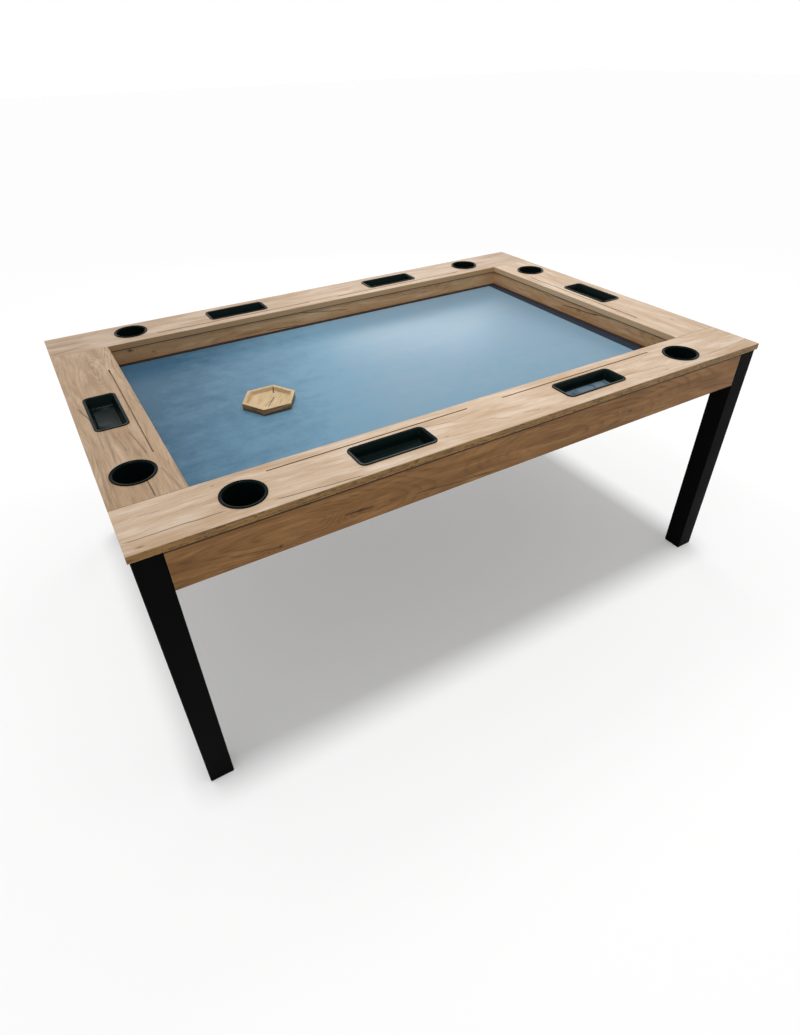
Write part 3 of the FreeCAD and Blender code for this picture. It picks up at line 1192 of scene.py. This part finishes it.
@dataclass
class DropInCup(DropIn):
    """Moulded cup: dished ring, slight draft, rounded floor."""

    rim_radius: float = 50 * MM
    rim_height: float = 3 * MM
    lip_radius: float = 48.2 * MM
    throat_radius: float = 43.6 * MM
    throat_depth: float = 1.25 * MM
    mouth_radius: float = 42.4 * MM
    mouth_depth: float = 3.4 * MM
    floor_radius: float = 40.6 * MM
    floor_thickness: float = 2.5 * MM
    wall_radius: float = 43.5 * MM
    foot_rounding: float = 5 * MM
    under_rounding: float = 0.5 * MM
    rim_rounding: float = 1.4 * MM
    lip_rounding: float = 0.3 * MM
    throat_rounding: float = 0.8 * MM
    mouth_rounding: float = 1.2 * MM
    sides: int = 72

    def build(self) -> None:
        """Spin the cup's section round its axis and round the edges."""
        low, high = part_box(self.node)
        top, under, floor = high.z, high.z - self.rim_height, low.z + self.floor_thickness
        # Radius, level, width of the rounding and facets across it, from the foot up and inward
        section = (
            (0.0, low.z, 0.0, 0),
            (self.wall_radius, low.z, self.foot_rounding, 4),
            (self.wall_radius, under, 0.0, 0),
            (self.rim_radius, under, self.under_rounding, 2),
            (self.rim_radius, top, self.rim_rounding, 4),
            (self.lip_radius, top, self.lip_rounding, 2),
            (self.throat_radius, top - self.throat_depth, self.throat_rounding, 3),
            (self.mouth_radius, top - self.mouth_depth, self.mouth_rounding, 3),
            (self.floor_radius, floor, self.foot_rounding, 4),
            (0.0, floor, 0.0, 0),
        )
        mesh = bmesh.new()
        points = [mesh.verts.new((radius, 0.0, level)) for radius, level, _, _ in section]
        lines = [mesh.edges.new(pair) for pair in zip(points, points[1:])]
        bmesh.ops.spin(mesh, geom=points + lines, cent=(0.0, 0.0, 0.0), axis=(0.0, 0.0, 1.0),
                       angle=math.tau, steps=self.sides, use_merge=True)
        bmesh.ops.remove_doubles(mesh, verts=mesh.verts, dist=WELD)
        near = 0.4 * MM
        for radius, level, width, segments in section:
            if segments:
                ring = edges_at(mesh, level, radius - near, radius + near)
                rounded_edges(mesh, ring, width, segments)
        self.hang(mesh, low, high)


@dataclass
class DropInTray(DropIn):
    """Moulded tray: sloped lip, drafted walls, rounded floor.

    Its steps, in mm, go in from the outline and out along the face's normal: on the inside from
    the rim's edge to the floor, on the outside from under the rim to the foot.
    """

    corner_radius: float = 16 * MM
    rim_height: float = 2.5 * MM
    rim_rounding: float = 1.1 * MM
    inside: tuple[Pair, ...] = (
        (0.6, 0.0), (0.6, -0.2), (4.2, -0.75), (1.2, -1.5), (3.8, -19.5), (0.8, -2.1),
        (0.9, -1.6), (1.1, -1.1), (0.8, -0.5),
    )
    outside: tuple[Pair, ...] = (
        (4.0, 0.0), (3.9, 22.0), (0.9, 2.2), (1.1, 1.6), (1.5, 1.1), (1.5, 0.4), (0.8, 0.0),
    )

    def build(self) -> None:
        """Raise a round-cornered rim, then press the bowl down through it from both sides."""
        low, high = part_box(self.node)
        size = high - low
        mesh = bmesh.new()
        bmesh.ops.create_grid(mesh, x_segments=1, y_segments=1, size=0.5)
        bmesh.ops.scale(mesh, vec=(size.x, size.y, 1.0), verts=mesh.verts)
        rounded_corners(mesh, self.corner_radius, 8)
        bmesh.ops.translate(mesh, vec=(0.0, 0.0, high.z - self.rim_height), verts=mesh.verts)
        raise_plate(mesh, self.rim_height)
        rounded_edges(mesh, edges_at(mesh, high.z), self.rim_rounding, 4)
        step_in(mesh, highest_face(mesh), tuple((a * MM, b * MM) for a, b in self.inside))
        lowest = max((face for face in mesh.faces if face.normal.z < -0.9),
                     key=lambda face: face.calc_area())
        step_in(mesh, lowest, tuple((a * MM, b * MM) for a, b in self.outside))
        self.hang(mesh, low, high)


@dataclass
class DiceTray:
    """Hexagonal tray milled from solid oak, with eased edges and cutter-round inner corners."""

    finish: Material
    node: str = "dice_tray"
    radius: float = 76 * MM
    turn_degrees: float = 29.0
    rim: float = 9 * MM
    recess: float = 11 * MM
    slope: float = 4.5 * MM
    cutter_radius: float = 3.0 * MM
    bottom_rounding: float = 2.5 * MM
    outer_easing: float = 1.4 * MM
    inner_easing: float = 0.8 * MM
    corner_easing: float = 1.2 * MM
    foot_easing: float = 0.5 * MM

    def uprights(self, mesh: Mesh, least: float, most: float = math.inf) -> list[Edge]:
        """Find the steep edges.

        Args:
            mesh: the bmesh.
            least: the least distance of both ends from the Z axis.
            most: their greatest distance from it.

        Returns:
            The edges.
        """
        return [edge for edge in mesh.edges
                if abs(edge.verts[0].co.z - edge.verts[1].co.z) > self.recess / 2
                and all(least <= v.co.xy.length <= most for v in edge.verts)]

    def build(self) -> None:
        """Raise the hexagon, mill its recess and ease every edge."""
        low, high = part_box(self.node)
        mesh = bmesh.new()
        bmesh.ops.create_circle(mesh, cap_ends=True, segments=6, radius=self.radius)
        bmesh.ops.translate(mesh, vec=(0.0, 0.0, low.z), verts=mesh.verts)
        raise_plate(mesh, high.z - low.z)
        step_in(mesh, highest_face(mesh), ((self.rim, 0.0), (self.slope, -self.recess)))
        half_rim = self.rim / 2
        inner = self.uprights(mesh, 0.0, self.radius - half_rim)
        rounded_edges(mesh, inner, self.cutter_radius, 5)
        rounded_edges(mesh, edges_at(mesh, high.z - self.recess), self.bottom_rounding, 3)
        outer = self.uprights(mesh, self.radius - 1 * MM)
        rounded_edges(mesh, outer, self.corner_easing, 3)
        between = self.radius * math.cos(math.radians(30.0)) - half_rim
        rounded_edges(mesh, edges_at(mesh, high.z, 0.0, between), self.inner_easing, 2)
        rounded_edges(mesh, edges_at(mesh, high.z, between), self.outer_easing, 3)
        rounded_edges(mesh, edges_at(mesh, low.z), self.foot_easing, 2)
        placed(mesh, low, high, self.turn_degrees)
        piece = finished(mesh, "dice_tray_milled", self.finish, self.node)
        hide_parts(self.node)


@dataclass
class PlayMat:
    """Cloth-faced rubber mat laid on the floor board, its right end a little out of square."""

    finish: Material
    node: str = "play_mat"
    short_side: float = 19 * MM
    corner_radius: float = 5 * MM
    edge_rounding: float = 0.9 * MM

    def build(self) -> None:
        """Cut the mat to its outline and round its corners and its upper edge."""
        low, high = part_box(self.node)
        right = high.x - self.short_side
        mesh = bmesh.new()
        corners = ((low.x, low.y), (right, low.y), (high.x, high.y), (low.x, high.y))
        mesh.faces.new([mesh.verts.new((x, y, low.z)) for x, y in corners])
        rounded_corners(mesh, self.corner_radius, 5)
        raise_plate(mesh, high.z - low.z)
        rounded_edges(mesh, edges_at(mesh, high.z), self.edge_rounding, 3)
        piece = finished(mesh, "play_mat_cloth", self.finish, "root")
        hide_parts(self.node)


@dataclass
class Fasteners:
    """The bolts that hold the legs to the aprons, and the screws of the angle brackets."""

    bolt_finish: Material
    screw_finish: Material
    washer_radius: float = 8 * MM
    washer_height: float = 1.6 * MM
    head_radius: float = 6.6 * MM
    head_height: float = 5.0 * MM
    head_chamfer: float = 0.8 * MM
    socket_radius: float = 3.0 * MM
    socket_taper: float = 0.2 * MM
    socket_depth: float = 2.8 * MM
    screw_radius: float = 3.6 * MM
    screw_edge: float = 0.6 * MM
    screw_dome: tuple[Pair, ...] = ((0.5, 0.9), (0.9, 0.6), (0.9, 0.1), (0.2, -1.0))
    bolt_spacing: float = 48 * MM
    apron_back: Pair = (0.868, 0.578)
    tab_thickness: float = 4 * MM
    tab_middle: Pair = (0.792, 0.502)
    tab_level: float = 0.682
    rail_bottom: float = 0.732
    bracket_thickness: float = 2 * MM
    bracket_arm: float = 16 * MM
    long_brackets: tuple[float, ...] = (-0.7115, -0.0997, 0.0997, 0.7115)
    short_brackets: tuple[float, ...] = (-0.407, -0.1381, 0.1381, 0.407)
    bearers: Triple = (-0.5, 0.0, 0.5)
    bearer_half: float = 22.5 * MM
    bearer_level: float = 0.648

    def turned(self, name: str, sides: int, radius: float, height: float,
               steps: tuple[Pair, ...]) -> bpy.types.Mesh:
        """Turn a small round head along Z.

        Args:
            name: its name.
            sides: facets round it.
            radius: the radius of its foot.
            height: how high its first step is.
            steps: the steps that follow, inward and upward.

        Returns:
            Its shape, to be placed many times.
        """
        mesh = bmesh.new()
        bmesh.ops.create_circle(mesh, cap_ends=True, segments=sides, radius=radius)
        raise_plate(mesh, height)
        step_in(mesh, highest_face(mesh), steps)
        return saved(mesh, name)

    def bolt(self) -> bpy.types.Mesh:
        """Turn a washer with a chamfered socket head on it.

        Returns:
            Its shape, to be placed many times.
        """
        chamfer = self.head_chamfer
        return self.turned("bolt", 20, self.washer_radius, self.washer_height, (
            (self.washer_radius - self.head_radius, 0.0),
            (10 * WELD, self.head_height - chamfer),
            (chamfer, chamfer),
            (self.head_radius - chamfer - self.socket_radius, 0.0),
            (self.socket_taper, -self.socket_depth),
        ))

    def screw(self) -> bpy.types.Mesh:
        """Turn a domed screw head with a small socket."""
        dome = tuple((inward * MM, upward * MM) for inward, upward in self.screw_dome)
        return self.turned("screw", 12, self.screw_radius, self.screw_edge, dome)

    def bolt_places(self) -> Places:
        """List the bolts of all four legs.

        Returns:
            Where each bolt's washer lies, and which way its head points.
        """
        places = []
        inner_x, inner_y = (edge - self.tab_thickness for edge in self.apron_back)
        middle_x, middle_y = self.tab_middle
        corners = [(side_x, side_y) for side_x in (-1, 1) for side_y in (-1, 1)]
        for side_x, side_y in corners:
            for shift in (-self.bolt_spacing / 2, self.bolt_spacing / 2):
                level = self.tab_level + shift
                places.append((Vector((side_x * middle_x, side_y * inner_y, level)),
                               Vector((0.0, -side_y, 0.0))))
                places.append((Vector((side_x * inner_x, side_y * middle_y, level)),
                               Vector((-side_x, 0.0, 0.0))))
        return places

    def bracket(self, corner: Triple, one: Triple, other: Triple) -> Places:
        """List the two screws of an angle bracket.

        Args:
            corner: the corner that the bracket sits in.
            one: the way one arm's screw points.
            other: the way the other arm's screw points.

        Returns:
            Where each screw's head lies, and which way it points.
        """
        place, first, second = Vector(corner), Vector(one), Vector(other)
        thick, arm = self.bracket_thickness, self.bracket_arm
        return [(place + first * thick + second * arm, first),
                (place + first * arm + second * thick, second)]

    def screw_places(self) -> Places:
        """List the screws of every angle bracket.

        Returns:
            Where each screw's head lies, and which way it points.
        """
        places = []
        back_x, back_y = self.apron_back
        down = (0.0, 0.0, -1.0)
        for side in (-1, 1):
            inward = (0.0, -side, 0.0)
            for x in self.long_brackets:
                places += self.bracket((x, side * back_y, self.rail_bottom), inward, down)
            for y in self.short_brackets:
                places += self.bracket((side * back_x, y, self.rail_bottom),
                                       (-side, 0.0, 0.0), down)
            for middle in self.bearers:
                for hand in (-1, 1):
                    corner = (middle + hand * self.bearer_half, side * back_y, self.bearer_level)
                    places += self.bracket(corner, inward, (hand, 0.0, 0.0))
        return places

    def scattered(self, shape: bpy.types.Mesh, places: Places, name: str,
                  finish: Material) -> None:
        """Place a shape many times and make one piece of it all.

        Args:
            shape: the shape, which points along Z.
            places: where its foot goes and which way it points.
            name: the piece's name.
            finish: its material.
        """
        mesh = bmesh.new()
        for place, way in places:
            before = len(mesh.verts)
            mesh.from_mesh(shape)
            mesh.verts.ensure_lookup_table()
            turn = Matrix.Translation(place) @ way.to_track_quat("Z", "Y").to_matrix().to_4x4()
            bmesh.ops.transform(mesh, matrix=turn, verts=mesh.verts[before:])
        finished(mesh, name, finish, "root", 30.0)

    def build(self) -> None:
        """Place every bolt and screw."""
        self.scattered(self.bolt(), self.bolt_places(), "leg_bolts", self.bolt_finish)
        self.scattered(self.screw(), self.screw_places(), "bracket_screws", self.screw_finish)


def dressed(node: Piece, material: Material) -> None:
    """Give a CAD node a finish.

    Args:
        node: the node.
        material: the finish, which goes into all its material slots.
    """
    data = node.data
    if not data.materials:
        data.materials.append(material)
    for index in range(len(data.materials)):
        data.materials[index] = material
    LOG.info("dressed %s in %s", node.name, material.name)


@dataclass
class Boards:
    """The twelve oak boards, which keep their shapes and get their own grain, knots and cracks.

    Places on a board are in mm, along its grain and across its face, and sizes are in mm too.
    """

    nodes: dict[str, Piece]
    half_length: float = 890
    half_width: float = 600
    rail_width: float = 160
    band_depth: float = 2
    # Levels of painted shade lines: under the rail on the aprons, and under the rail and along the
    # mat on the walls.
    apron_shade_line: float = 727.8
    well_shade_lines: Pair = (730.8, 683.2)
    apron_pith: float = 680
    wall_pith: float = 706

    def dress(self, node: str, grain: Grain, colours: OakColours, seed: float,
              **looks: object) -> None:
        """Give a board its own oak laminate, with its own knots, cracks and strengths as looks."""
        name = f"oak_{node.removeprefix('well_')}"
        dressed(self.nodes[node], OakLaminate(name, grain, colours, seed, **looks).build())

    def core(self, outer: float, end: float) -> Triple:
        """Give the core's least and greatest distance across a rail, and its greatest along it."""
        band = self.band_depth
        return outer - self.rail_width + band, outer - band, end - band

    def rails(self) -> None:
        """Dress the four rails."""
        long_core = self.core(self.half_width, self.half_length)
        short_core = self.core(self.half_length, self.half_width - self.rail_width)
        self.dress(
            "rail_front", Grain.FLAT_ALONG, TOP_OAK, 1.0, core=long_core,
            cracks=(
                Crack(-889, -558, -687, -563, 2.0, 1.0),
                Crack(-600, -577, -403, -597, 2.2, 0.95),
                Crack(-195, -491, -112, -505, 2.4, 0.6),
                Crack(-120, -503, -30, -490, 2.0, 0.35),
                Crack(-38, -541, 6, -567, 2.2, 0.6),
                Crack(46, -560, 96, -568, 2.2, 0.7),
                Crack(392, -544, 553, -559, 1.8, 0.8),
                Crack(700, -568, 800, -570, 1.8, 0.7),
                Crack(470, -474, 590, -470, 1.8, 0.4),
                Crack(-845, -486, -800, -491, 2.2, 0.35),
            ),
            knots=(
                Knot(-860, -585, 13, 4.5, 0.75, 3.0),
                Knot(-689, -463, 7, 4, 0.55, 3.5),
                Knot(-172, -555, 9, 4, 0.4, 3.5),
                Knot(527, -578, 11, 4, 0.5, 3.5),
                Knot(-640, -416, 12, 3, 0.35, 2.0),
            ),
            streak_strength=0.3, smudge_strength=0.35, smudge_share=0.35, ring_share=0.3,
        )
        self.dress(
            "rail_back", Grain.FLAT_ALONG, BACK_OAK_SHADED, 2.0, core=long_core,
            cracks=(
                Crack(-500, 497, -405, 507, 2.0, 0.6),
                Crack(760, 566, 884, 575, 2.0, 0.6),
                Crack(60, 560, 200, 552, 1.8, 0.7),
                Crack(-888, 520, -800, 523, 4.5, 0.5),
                Crack(-888, 458, -770, 490, 5.5, 0.45),
            ),
            knots=(Knot(120, 515, 12, 5), Knot(-790, 560, 10, 4, 0.5)),
            streak_strength=0.35, smudge_share=0.4, ring_share=0.35,
        )
        self.dress(
            "rail_left", Grain.FLAT_ACROSS, LEFT_OAK_SHADED, 3.0, core=short_core,
            cracks=(
                Crack(53, -869, -60, -853, 2.4, 0.85),
                Crack(-90, -849, -190, -853, 4.5, 0.3),
                Crack(-138, -818, -228, -811, 4.5, 0.32),
                Crack(-130, -788, -262, -773, 3.0, 0.55),
                Crack(-368, -799, -438, -795, 3.0, 0.85),
                Crack(-125, -836, -270, -841, 5.0, 0.25),
                Crack(-215, -874, -420, -877, 5.0, 0.25),
                Crack(-330, -763, -438, -745, 5.0, 0.28),
            ),
            knots=(Knot(290, -797, 62, 9, 0.15, 4.2), Knot(336, -874, 6, 4, 0.6, 2.5)),
            smudge_strength=0.55, smudge_share=0.65, ring_share=0.35, ring_strength=0.78,
            pith_offset=-790,
        )
        self.dress(
            "rail_right", Grain.FLAT_ACROSS, RIGHT_OAK_LIT_EDGE, 4.0, core=short_core,
            cracks=(Crack(262, 746, 125, 744, 2.0, 0.6), Crack(-178, 747, -268, 760, 2.0, 0.6)),
            knots=(Knot(-330, 840, 12, 5, 0.5),),
            streak_strength=0.4, smudge_share=0.45, ring_share=0.35, pith_offset=810,
        )

    def aprons(self) -> None:
        """Dress the four aprons, which show more rings than the rails."""
        shared = {"ring_share": 0.6, "ring_spacing": 7, "pith_offset": self.apron_pith,
                  "joints": (self.apron_shade_line,), "specular": 0.15}
        self.dress(
            "apron_front", Grain.UPRIGHT_ALONG, APRON_OAK, 5.0,
            cracks=(
                Crack(-460, 666, -385, 663, 3.0, 0.8),
                Crack(-715, 664, -600, 643, 2.4, 0.6),
                Crack(-280, 657, -40, 637, 2.0, 0.75),
                Crack(-155, 653, -70, 641, 2.4, 0.6),
                Crack(-580, 728, -530, 724, 2.4, 0.7),
                Crack(250, 700, 420, 690, 2.0, 0.6),
            ),
            knots=(
                Knot(-418, 665, 24, 6, swirl=5.0),
                Knot(-606, 647, 9, 5, 0.7, 5.0),
                Knot(392, 672, 10, 5, swirl=5.0),
            ),
            ring_strength=0.6, smudge_strength=0.7, smudge_share=0.65, **shared,
        )
        for node, grain, seed, crack, knots in (
            ("apron_back", Grain.UPRIGHT_ALONG, 6.0, Crack(-300, 690, -120, 684, 2.2, 0.7),
             (Knot(350, 675, 18, 6, swirl=5.0), Knot(-520, 700, 10, 5))),
            ("apron_left", Grain.UPRIGHT_ACROSS, 7.0, Crack(-150, 660, 50, 668, 2.2, 0.7),
             (Knot(220, 690, 14, 6, swirl=5.0),)),
            ("apron_right", Grain.UPRIGHT_ACROSS, 8.0, Crack(80, 700, 260, 694, 2.2, 0.7),
             (Knot(-180, 672, 14, 6, swirl=5.0),)),
        ):
            self.dress(node, grain, APRON_OAK, seed, cracks=(crack,), knots=knots,
                       ring_strength=0.65, **shared)

    def walls(self) -> None:
        """Dress the four walls of the well."""
        shared = {"pith_offset": self.wall_pith, "joints": self.well_shade_lines}
        self.dress("well_wall_front", Grain.UPRIGHT_ALONG, WALL_OAK, 9.0,
                   knots=(Knot(250, 706, 12, 5, swirl=5.0),), **shared)
        self.dress(
            "well_wall_back", Grain.UPRIGHT_ALONG, WALL_OAK, 10.0,
            cracks=(
                Crack(-100, 727, 85, 704, 2.4, 0.8),
                Crack(-232, 692, -105, 688, 2.4, 0.8),
                Crack(300, 716, 420, 711, 2.0, 0.6),
            ),
            knots=(Knot(-671, 722, 12, 7, 0.9), Knot(-604, 703, 9, 5)),
            ring_share=0.55, **shared,
        )
        self.dress("well_wall_left", Grain.UPRIGHT_ACROSS, WALL_OAK, 11.0,
                   knots=(Knot(-120, 700, 12, 5, swirl=5.0),), **shared)
        self.dress(
            "well_wall_right", Grain.UPRIGHT_ACROSS, WALL_OAK, 12.0,
            cracks=(
                Crack(55, 709, -132, 722, 2.6, 0.85),
                Crack(-10, 714, -180, 726, 2.4, 0.7),
                Crack(150, 722, 40, 728, 2.2, 0.6),
            ),
            knots=(Knot(-30, 712, 20, 5, 0.5),),
            ring_share=0.6, **shared,
        )

    def build(self) -> None:
        """Dress every board."""
        self.rails()
        self.aprons()
        self.walls()


@dataclass
class Understructure:
    """Floor board, blocks, bearers, tongues, brackets, legs and caps, which keep their shapes."""

    nodes: dict[str, Piece]

    def build(self) -> None:
        """Dress every node by what it is made of."""
        coat, nylon = PowderCoat().build(), MatteNylon().build()
        slate, zinc = SlateBoard().build(), ZincPlate().build()
        along = SawnPine("sawn_pine_along", Grain.FLAT_ALONG).build()
        across = SawnPine("sawn_pine_across", Grain.FLAT_ACROSS).build()
        finishes = (
            ("leg_cap", nylon), ("leg_", coat), ("game_floor", slate), ("rail_tongues", along),
            ("spacer_blocks_front", along), ("spacer_blocks_back", along),
            ("spacer_blocks", across), ("floor_bearer", across), ("rail_brackets", zinc),
            ("bearer_brackets", zinc),
        )
        for name, node in self.nodes.items():
            finish = next((finish for start, finish in finishes if name.startswith(start)), None)
            if finish is not None:
                dressed(node, finish)


@dataclass
class Studio:
    """Plain pale floor, soft light and the camera."""

    camera_place: Triple = (-0.8856, -1.5734, 1.4684)
    yaw: float = 0.5224
    pitch: float = 0.6530
    roll: float = -0.0238
    lens: float = 21.71
    sensor: float = 36.0
    clip_span: Pair = (0.02, 200.0)
    ambient: float = 0.43
    key: float = 1.84
    key_width_degrees: float = 11.0
    key_tilt_degrees: float = -1.5
    window_place: Triple = (1.75, 2.8, 1.87)
    window_aim: Triple = (0.2, 0.0, 0.7)
    window_power: float = 9.0
    window_size: Pair = (1.5, 0.8)
    pendant_place: Triple = (0.22, 0.05, 1.65)
    pendant_power: float = 14.0
    pendant_radius: float = 0.2
    pendant_cone_degrees: float = 118.0
    pendant_blend: float = 0.6
    floor_size: float = 60.0
    floor_paint: str = "#fbfbfb"
    floor_glow: float = 0.24

    def camera(self) -> None:
        """Set the camera where the photograph was taken from."""
        level = Vector((math.cos(self.yaw), -math.sin(self.yaw), 0.0))
        reach = math.cos(self.pitch)
        forward = Vector((math.sin(self.yaw) * reach, math.cos(self.yaw) * reach,
                          -math.sin(self.pitch)))
        upward = level.cross(forward)
        right = math.cos(self.roll) * level + math.sin(self.roll) * upward
        above = -math.sin(self.roll) * level + math.cos(self.roll) * upward
        data = bpy.data.cameras.new("camera")
        data.sensor_width = self.sensor
        data.lens = self.lens
        data.clip_start, data.clip_end = self.clip_span
        camera = bpy.data.objects.new("camera", data)
        turn = Matrix((right, above, -forward)).transposed().to_4x4()
        camera.matrix_world = Matrix.Translation(self.camera_place) @ turn
        bpy.context.scene.collection.objects.link(camera)
        bpy.context.scene.camera = camera

    def world(self) -> None:
        """Light the table evenly from all round. The camera, gloss and glass see it white."""
        world = bpy.data.worlds.new("pale_room")
        bpy.context.scene.world = world
        tree = new_tree(world)
        path = add(tree, "LightPath")
        rays = ("Is Camera Ray", "Is Glossy Ray", "Is Transmission Ray")
        seen = joined(tree, [path.outputs[ray] for ray in rays], "MAXIMUM")
        strength = add(tree, "MapRange", (seen, 0.0, 1.0, self.ambient, 1.0))
        light = add(tree, "Background", {"Color": "#ffffff", "Strength": strength})
        add(tree, "OutputWorld", (light,))

    def hang(self, name: str, kind: str, place: Triple, **settings: object) -> Piece:
        """Hang a lamp.

        Args:
            name: its name.
            kind: Blender's type of light.
            place: where it hangs.
            settings: the light's own properties.

        Returns:
            The lamp, which points straight down.
        """
        data = bpy.data.lights.new(name, kind)
        for key, value in settings.items():
            setattr(data, key, value)
        lamp = bpy.data.objects.new(name, data)
        lamp.location = place
        bpy.context.scene.collection.objects.link(lamp)
        return lamp

    def lamps(self) -> None:
        """Hang a broad sun over the table, a window behind it and a weak pendant over the well.

        The window puts a soft glare on the mat and the trays. The pendant lights the well's walls
        and puts no gloss on the mat.
        """
        sun = self.hang("soft_overhead", "SUN", (0.0, 0.0, 0.0), energy=self.key,
                        angle=math.radians(self.key_width_degrees))
        sun.rotation_euler.x = math.radians(self.key_tilt_degrees)
        length, height = self.window_size
        window = self.hang("window", "AREA", self.window_place, shape="RECTANGLE", size=length,
                           size_y=height, energy=self.window_power)
        toward = Vector(self.window_aim) - Vector(self.window_place)
        window.rotation_euler = toward.to_track_quat("-Z", "Y").to_euler()
        pendant = self.hang("pendant", "SPOT", self.pendant_place, energy=self.pendant_power,
                            shadow_soft_size=self.pendant_radius,
                            spot_blend=self.pendant_blend,
                            spot_size=math.radians(self.pendant_cone_degrees))
        pendant.visible_glossy = False

    def floor(self) -> None:
        """Lay a white floor that keeps the table's soft shadow."""
        mesh = bmesh.new()
        bmesh.ops.create_grid(mesh, x_segments=1, y_segments=1, size=self.floor_size / 2)
        data = saved(mesh, "studio_floor")
        material = bpy.data.materials.new("studio_white")
        tree = new_tree(material)
        path = add(tree, "LightPath")
        glow = add(tree, "Math", (path.outputs["Is Camera Ray"], self.floor_glow),
                   operation="MULTIPLY")
        paint = add(tree, "BsdfDiffuse", {"Color": self.floor_paint})
        shine = add(tree, "Emission", {"Color": "#ffffff", "Strength": 1.0})
        add(tree, "OutputMaterial", (add(tree, "MixShader", (glow, paint, shine)),))
        data.materials.append(material)
        floor = bpy.data.objects.new("studio_floor", data)
        bpy.context.scene.collection.objects.link(floor)

    def build(self) -> None:
        """Set up the whole studio."""
        self.camera()
        self.world()
        self.lamps()
        self.floor()
        bpy.context.scene.view_settings.view_transform = "Standard"


def main() -> None:
    """Build the scene."""
    logging.basicConfig(level=logging.INFO, format="%(message)s")
    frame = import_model()
    nodes = frame["nodes"]
    Studio().build()
    Boards(nodes).build()
    Understructure(nodes).build()
    gloss = GlossPlastic().build()
    tray_gloss = GlossPlastic("gloss_black_abs_tray", specular=0.05).build()
    # Painted reflection on the front right tray's floor.
    painted_reflection_gloss = GlossPlastic("gloss_black_abs_painted_reflection", specular=0.06, painted_reflection=0.85).build()
    for name in nodes:
        if name.startswith("cup_"):
            DropInCup(name, gloss).build()
        elif name.startswith("tray_"):
            finish = painted_reflection_gloss if name == "tray_front_right" else tray_gloss
            DropInTray(name, finish).build()
    PlayMat(PlayCloth().build()).build()
    DiceTray(OiledOak().build()).build()
    bolt_finish = PowderCoat("black_oxide_bolts").build()
    Fasteners(bolt_finish, ZincPlate("zinc_plated_screws").build()).build()


if __name__ == "__main__":
    main()
